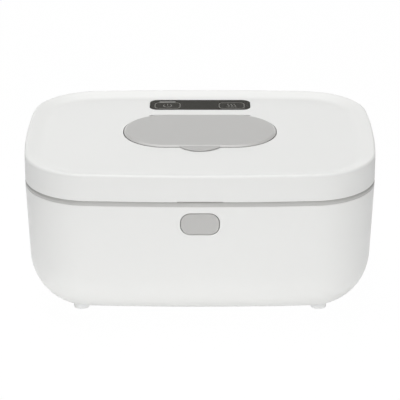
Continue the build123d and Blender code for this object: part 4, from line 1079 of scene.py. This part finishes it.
def ink_line(name, lines, closed=False, breadth=stroke, ink=print_ink):
    """Print one mark on the window from lists of (x, y) points. Closed lines join up at their ends."""
    nothing_selected()
    curve = bpy.data.curves.new(name, "CURVE")
    curve.dimensions = "3D"
    curve.bevel_depth = breadth / 2 * mm
    curve.bevel_resolution = 2
    curve.use_fill_caps = True
    for line in lines:
        spline = curve.splines.new("POLY")
        spline.points.add(len(line) - 1)
        for point, (x, y) in zip(spline.points, line):
            point.co = (x * mm, y * mm, 0, 1)
        spline.use_cyclic_u = closed
    drawn = bpy.data.objects.new(name, curve)
    scene.collection.objects.link(drawn)
    select_only(drawn)
    bpy.ops.object.convert(target="MESH")
    mark = bpy.context.object
    flat = Matrix.Diagonal((1, 1, 2 * print_height / breadth, 1))
    mark.data.transform(Matrix.Translation((0, 0, panel_height * mm)) @ flat)
    bpy.ops.object.shade_smooth_by_angle(angle=radians(60))
    dress(mark, ink, "grey_plastic", "lid")


# %% Printed marks: key outlines
power_x, warmth_x, key_middle = -21.4, 20.9, 54.1
key_length, key_depth, key_corner = 16.5, 11.3, 3.2
for label, key_x in (("power", power_x), ("warmth", warmth_x)):
    key = rounded_outline(key_length, key_depth, key_corner, (key_x, key_middle), 8)
    ink_line(f"{label}_key_outline", [[(x, y) for x, y, _, _ in key]], closed=True)

# %% Printed marks: symbols and light bar
power_radius, power_gap = 2.7, 38
turns = [radians(90 + power_gap + (360 - 2 * power_gap) * step / 30) for step in range(31)]
power_ring = [arc_point((power_x, key_middle - 0.3), power_radius, turn)[:2] for turn in turns]
power_bar = [(power_x, key_middle + 0.2), (power_x, key_middle + 3.1)]
ink_line("power_symbol", [power_ring, power_bar])

wave_pitch, wave_height, wave_swing = 2.1, 4.6, 0.5
wave_foot, base_half, base_drop = key_middle - 1.6, 3.6, 2.9
waves = []
for wave_x in (warmth_x - wave_pitch, warmth_x, warmth_x + wave_pitch):
    wave = []
    for step in range(17):
        share = step / 16
        wave.append((wave_x + wave_swing * sin(2 * pi * share), wave_foot + wave_height * share))
    waves.append(wave)
waves.append([(warmth_x + side * base_half, key_middle - base_drop) for side in (-1, 1)])
ink_line("warmth_symbol", waves)

light_x, light_y, light_length, light_breadth = -21.5, 61.2, 10.6, 1.15
light_ends = [(light_x + side * light_length / 2, light_y) for side in (-1, 1)]
ink_line("light_bar", [light_ends], breadth=light_breadth, ink=light_ink)

# %% [markdown]
# ## The body
#
# The body is one drafted moulding: it narrows slightly downwards, as it has to leave its mould, and it
# rolls under in a large soft curve on to the flat that the feet stand on. The curve is a quarter of an
# ellipse, drawn in the slanted corner between the wall and the underside, so that it meets both without
# a crease. The profile starts inside, goes up the inner wall, over the rim and down the outside.

# %% Body: profile
foot_height, body_top = 4.5, 82.6
shell_wall, rim_edge = 2.5, 0.4
draft = radians(2.2)
foot_inset = (body_top - foot_height) * tan(draft)
wall_up = Vector((-sin(draft), cos(draft)))


def rolled_foot(corner, reach, rise, steps):
    """Profile lines of the curve between the underside and the wall, from the underside up."""
    lines = []
    for step in range(steps + 1):
        turn = pi / 2 * step / steps
        place = Vector(corner) + Vector((reach * (1 - sin(turn)), 0)) + wall_up * rise * (1 - cos(turn))
        lines.append(tuple(place))
    return lines


roll_reach, roll_rise, flat_inset = 26.6, 31.8, 38.0
inner_corner = (foot_inset + shell_wall - shell_wall * tan(draft), foot_height + shell_wall)
inner_roll = rolled_foot(inner_corner, roll_reach - shell_wall, roll_rise - shell_wall, 14)
outer_roll = rolled_foot((foot_inset, foot_height), roll_reach, roll_rise, 20)
body_profile = [(flat_inset, inner_corner[1])] + inner_roll + [(shell_wall, body_top)]
body_profile += arc_lines(rim_edge, body_top - rim_edge, rim_edge, rim_edge, 90, 0, 4)
body_profile += outer_roll[::-1] + [(flat_inset, foot_height)]
body = draw_shell("body_shell", plan, body_profile)
print("the body is", round(body_top - foot_height, 1), "high and", round(foot_inset, 1), "narrower below")

# %% Body: openings for the bottom cover and the feet
cover_length, cover_width, cover_corner = 134.0, 74.0, 8.0
cover_hole = (cover_length + 2 * fit_gap, cover_width + 2 * fit_gap)
opening_cut(body, "cover_cut", cover_hole, cover_corner + fit_gap, (0, 0), 0, 9, steps=8)
foot_x, foot_y, foot_radius, foot_seat, stem_radius, stem_gap = 75.0, 44.0, 4.95, 0.8, 2.0, 0.04
foot_places = [(side * foot_x, end * foot_y) for side in (1, -1) for end in (1, -1)]
for x, y in foot_places:
    seat = round_outline(foot_radius + fit_gap, (x, y), 40)
    combine(body, draw_shell("seat_cut", seat, [(0, 2), (0, foot_height + foot_seat)]), "DIFFERENCE")
    stem = round_outline(stem_radius + stem_gap, (x, y), 24)
    combine(body, draw_shell("stem_cut", stem, [(0, 3), (0, 9)]), "DIFFERENCE")
print("feet at", foot_places)

# %% Body: the opening for the button
button_length, button_width, button_corner, button_gap = 23.5, 13.9, 6.0, 0.35
button_middle = 71.1
forwards = Matrix.Rotation(pi / 2, 4, "X")


def facing_front(piece, height):
    """Turn a piece drawn flat so that its top faces the front, at a height, and lean it with the wall."""
    lean = Matrix.Identity(4)
    lean[1][2] = -tan(draft)
    piece.data.transform(Matrix.Translation((0, 0, height * mm)) @ lean @ forwards)
    return piece


opening_size = (button_length + 2 * button_gap, button_width + 2 * button_gap)
opening = rounded_outline(*opening_size, button_corner + button_gap, steps=12)
button_cut = facing_front(draw_shell("button_cut", opening, [(0, 70), (0, 90)]), button_middle)
combine(body, button_cut, "DIFFERENCE")
print("the button's opening is", [round(side, 2) for side in opening_size])

# %% Body: the flat pad and hole of the power inlet
inlet_x, inlet_z, inlet_face = 62.0, 46.0, 74.41
backwards = Matrix.Translation((inlet_x * mm, 0, inlet_z * mm)) @ Matrix.Rotation(-pi / 2, 4, "X")
for name, radius, low, high, operation in (
    ("inlet_boss", 9.5, inlet_face - shell_wall, inlet_face + 1.0, "UNION"),
    ("pad_cut", 7.0, inlet_face, inlet_face + 9.0, "DIFFERENCE"),
    ("inlet_cut", 4.15, inlet_face - 9.0, inlet_face + 9.0, "DIFFERENCE"),
):
    disc = draw_shell(name, round_outline(radius, steps=64), [(0, low), (0, high)])
    disc.data.transform(backwards)
    combine(body, disc, operation)
soften(body, angle=28)
dress(body, white_shell, "white_plastic", "base", "base_shell")

# %% [markdown]
# Inside the body are the ledge and bosses that the bottom cover is screwed to, a socket over each foot,
# four bosses for the button's guide, and the rear knuckles on their gussets. They are cut out of the
# solid in boxes, as the lid's knuckles were.

# %% Body: what grows out of the shell
socket_half, socket_low, socket_high = 4.1, 6.98, 16
boxes = {"cover_ledge": ((-69.6, -39.6, 6.9), (69.6, 39.6, socket_high))}
for number, (x, y) in enumerate(foot_places, start=1):
    low = (x - socket_half, y - socket_half, socket_low)
    boxes[f"foot_socket_{number}"] = (low, (x + socket_half, y + socket_half, socket_high))
boxes["guide_bosses"] = ((-26, -76.1, 58), (26, -67.9, 82.5))
base_knuckle_start, base_knuckle_end, gusset_front, gusset_low = 7.28, 15.32, depth / 2 - 2.3, 67.0
for number, (side, way) in enumerate(((-1, -1), (-1, 1), (1, -1), (1, 1)), start=1):
    reaches = (way * base_knuckle_start, way * base_knuckle_end)
    start, end = sorted(side * hinge_station + reach for reach in reaches)
    boxes[f"body_knuckle_{number}"] = ((start, gusset_front, gusset_low), (end, knuckle_rear, 90))
for name, (low_corner, high_corner) in boxes.items():
    grown = box_of_solid(name, "base_shell", low_corner, high_corner)
    soften(grown, angle=30)
    dress(grown, white_shell, "white_plastic", "base", "base_shell")

# %% [markdown]
# ## The trim ring
#
# A separate band is bonded to the rim and closes the gap between body and lid. It is a low upright step
# under a narrow slope, and its foot reaches inwards, where the tub's snaps grip it.

# %% Trim ring
ring_top, ring_step, ring_slope, ring_band, ring_foot = 85.3, 84.15, 0.75, 4.5, 8.0
ring_low, ring_neck, edge_cut = body_top - 2.0, shell_wall + fit_gap, 0.12
ring_profile = [(ring_neck, body_top), (edge_cut, body_top), (0, body_top + edge_cut), (0, ring_step)]
ring_profile += [(0.06, ring_step + 0.16), (ring_slope - 0.1, ring_top - 0.1), (ring_slope + 0.1, ring_top)]
ring_profile += [(ring_band - 0.15, ring_top), (ring_band, ring_top - 0.15), (ring_band, body_top)]
ring_profile += [(ring_foot, body_top), (ring_foot, ring_low), (ring_neck, ring_low)]
ring = draw_shell("trim_band", plan, ring_profile, ring=True)
soften(ring, angle=28)
dress(ring, warm_grey, "grey_plastic", "base", "trim_ring")

# %% [markdown]
# ## The release button
#
# The button is drawn lying on its back: a flange that keeps it from falling out, the cap with a soft
# edge, and a stem behind it. Then it is turned to face the front and leaned by the same angle as the
# wall, so that its face stays parallel to the body round it.

# %% Release button
button_outline = rounded_outline(button_length, button_width, button_corner, steps=12)
wall_front, stands_proud = depth / 2 - (body_top - button_middle) * tan(draft), 0.3
button_face = wall_front + stands_proud
button_flange, flange_edge, flange_thickness, catch_face, soft_edge = 75.47, 1.6, 1.5, 66.17, 0.7
flange_back = button_flange - flange_thickness
button_profile = [(5.0, flange_back), (-flange_edge, flange_back), (-flange_edge, button_flange)]
button_profile += [(0, button_flange)]
button_profile += arc_lines(soft_edge, button_face - soft_edge, soft_edge, soft_edge, 0, 84, 6)
button_profile += [(1.6, button_face - 0.02), (4.0, button_face)]
button = facing_front(draw_shell("button_cap", button_outline, button_profile), button_middle)
button_stem = draw_shell("button_stem", round_outline(3.0, steps=40), [(0, catch_face), (0, button_flange)])
button_stem.data.transform(Matrix.Translation((0, 0, button_middle * mm)) @ forwards)
combine(button, button_stem, "UNION")
soften(button, angle=32)
dress(button, warm_grey, "grey_plastic", "button", "release_button")
print("the button's face is", round(button_face, 2), "in front of the middle")

# %% [markdown]
# Behind the flange sits a coil spring, whose rear end rests on the guide. It gets shorter as the button
# goes in, but here a copy of its solid is set on the base as it is.

# %% Button spring
coil = copy_of(nodes["button_spring"], "button_coil")
dress(coil, zinc_steel, "steel", "base", "button_spring")
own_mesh(coil)

# %% [markdown]
# ## The feet
#
# Each foot is a milky rubber disc with a rounded rim and a shallow dimple below, which lets it grip a
# smooth table. A stem pulls it into its seat. One foot is drawn, and the others are copies of its mesh
# that are moved to their places.

# %% Feet
foot_rim, foot_top, stem_inset = 0.6, foot_height + 0.65, foot_radius - stem_radius
foot_profile = [(4.4, 0.4), (2.9, 0.38), (2.4, 0.0)]
foot_profile += arc_lines(foot_rim, foot_rim, foot_rim, foot_rim, -90, 0, 6)
foot_profile += [(0, foot_height - 0.6), (0, foot_height + 0.2), (0.25, foot_top), (stem_inset, foot_top)]
foot_profile += [(stem_inset, 10.3), (stem_inset + 0.4, 10.7)]
foot_names = ("rear_right", "front_right", "rear_left", "front_left")
first_outline = round_outline(foot_radius, foot_places[0], 48)
first_foot = draw_shell(f"{foot_names[0]}_rubber_foot", first_outline, foot_profile)
soften(first_foot, angle=35)
feet = [first_foot] + [copy_of(first_foot, f"{corner}_rubber_foot") for corner in foot_names[1:]]
for foot, place, corner in zip(feet, foot_places, foot_names):
    shift = Vector(place) - Vector(foot_places[0])
    foot.data.transform(Matrix.Translation(shift.to_3d() * mm))
    dress(foot, milky_rubber, "foot_rubber", "base", f"{corner}_foot")

# %% How far the dressed box differs from the solids' box
dressed_box = [list(corner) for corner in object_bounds()]
changes = [abs(a - b) for a, b in zip(sum(cad_box, []), sum(dressed_box, []))]
print("the box changed by at most", round(max(changes), 5))
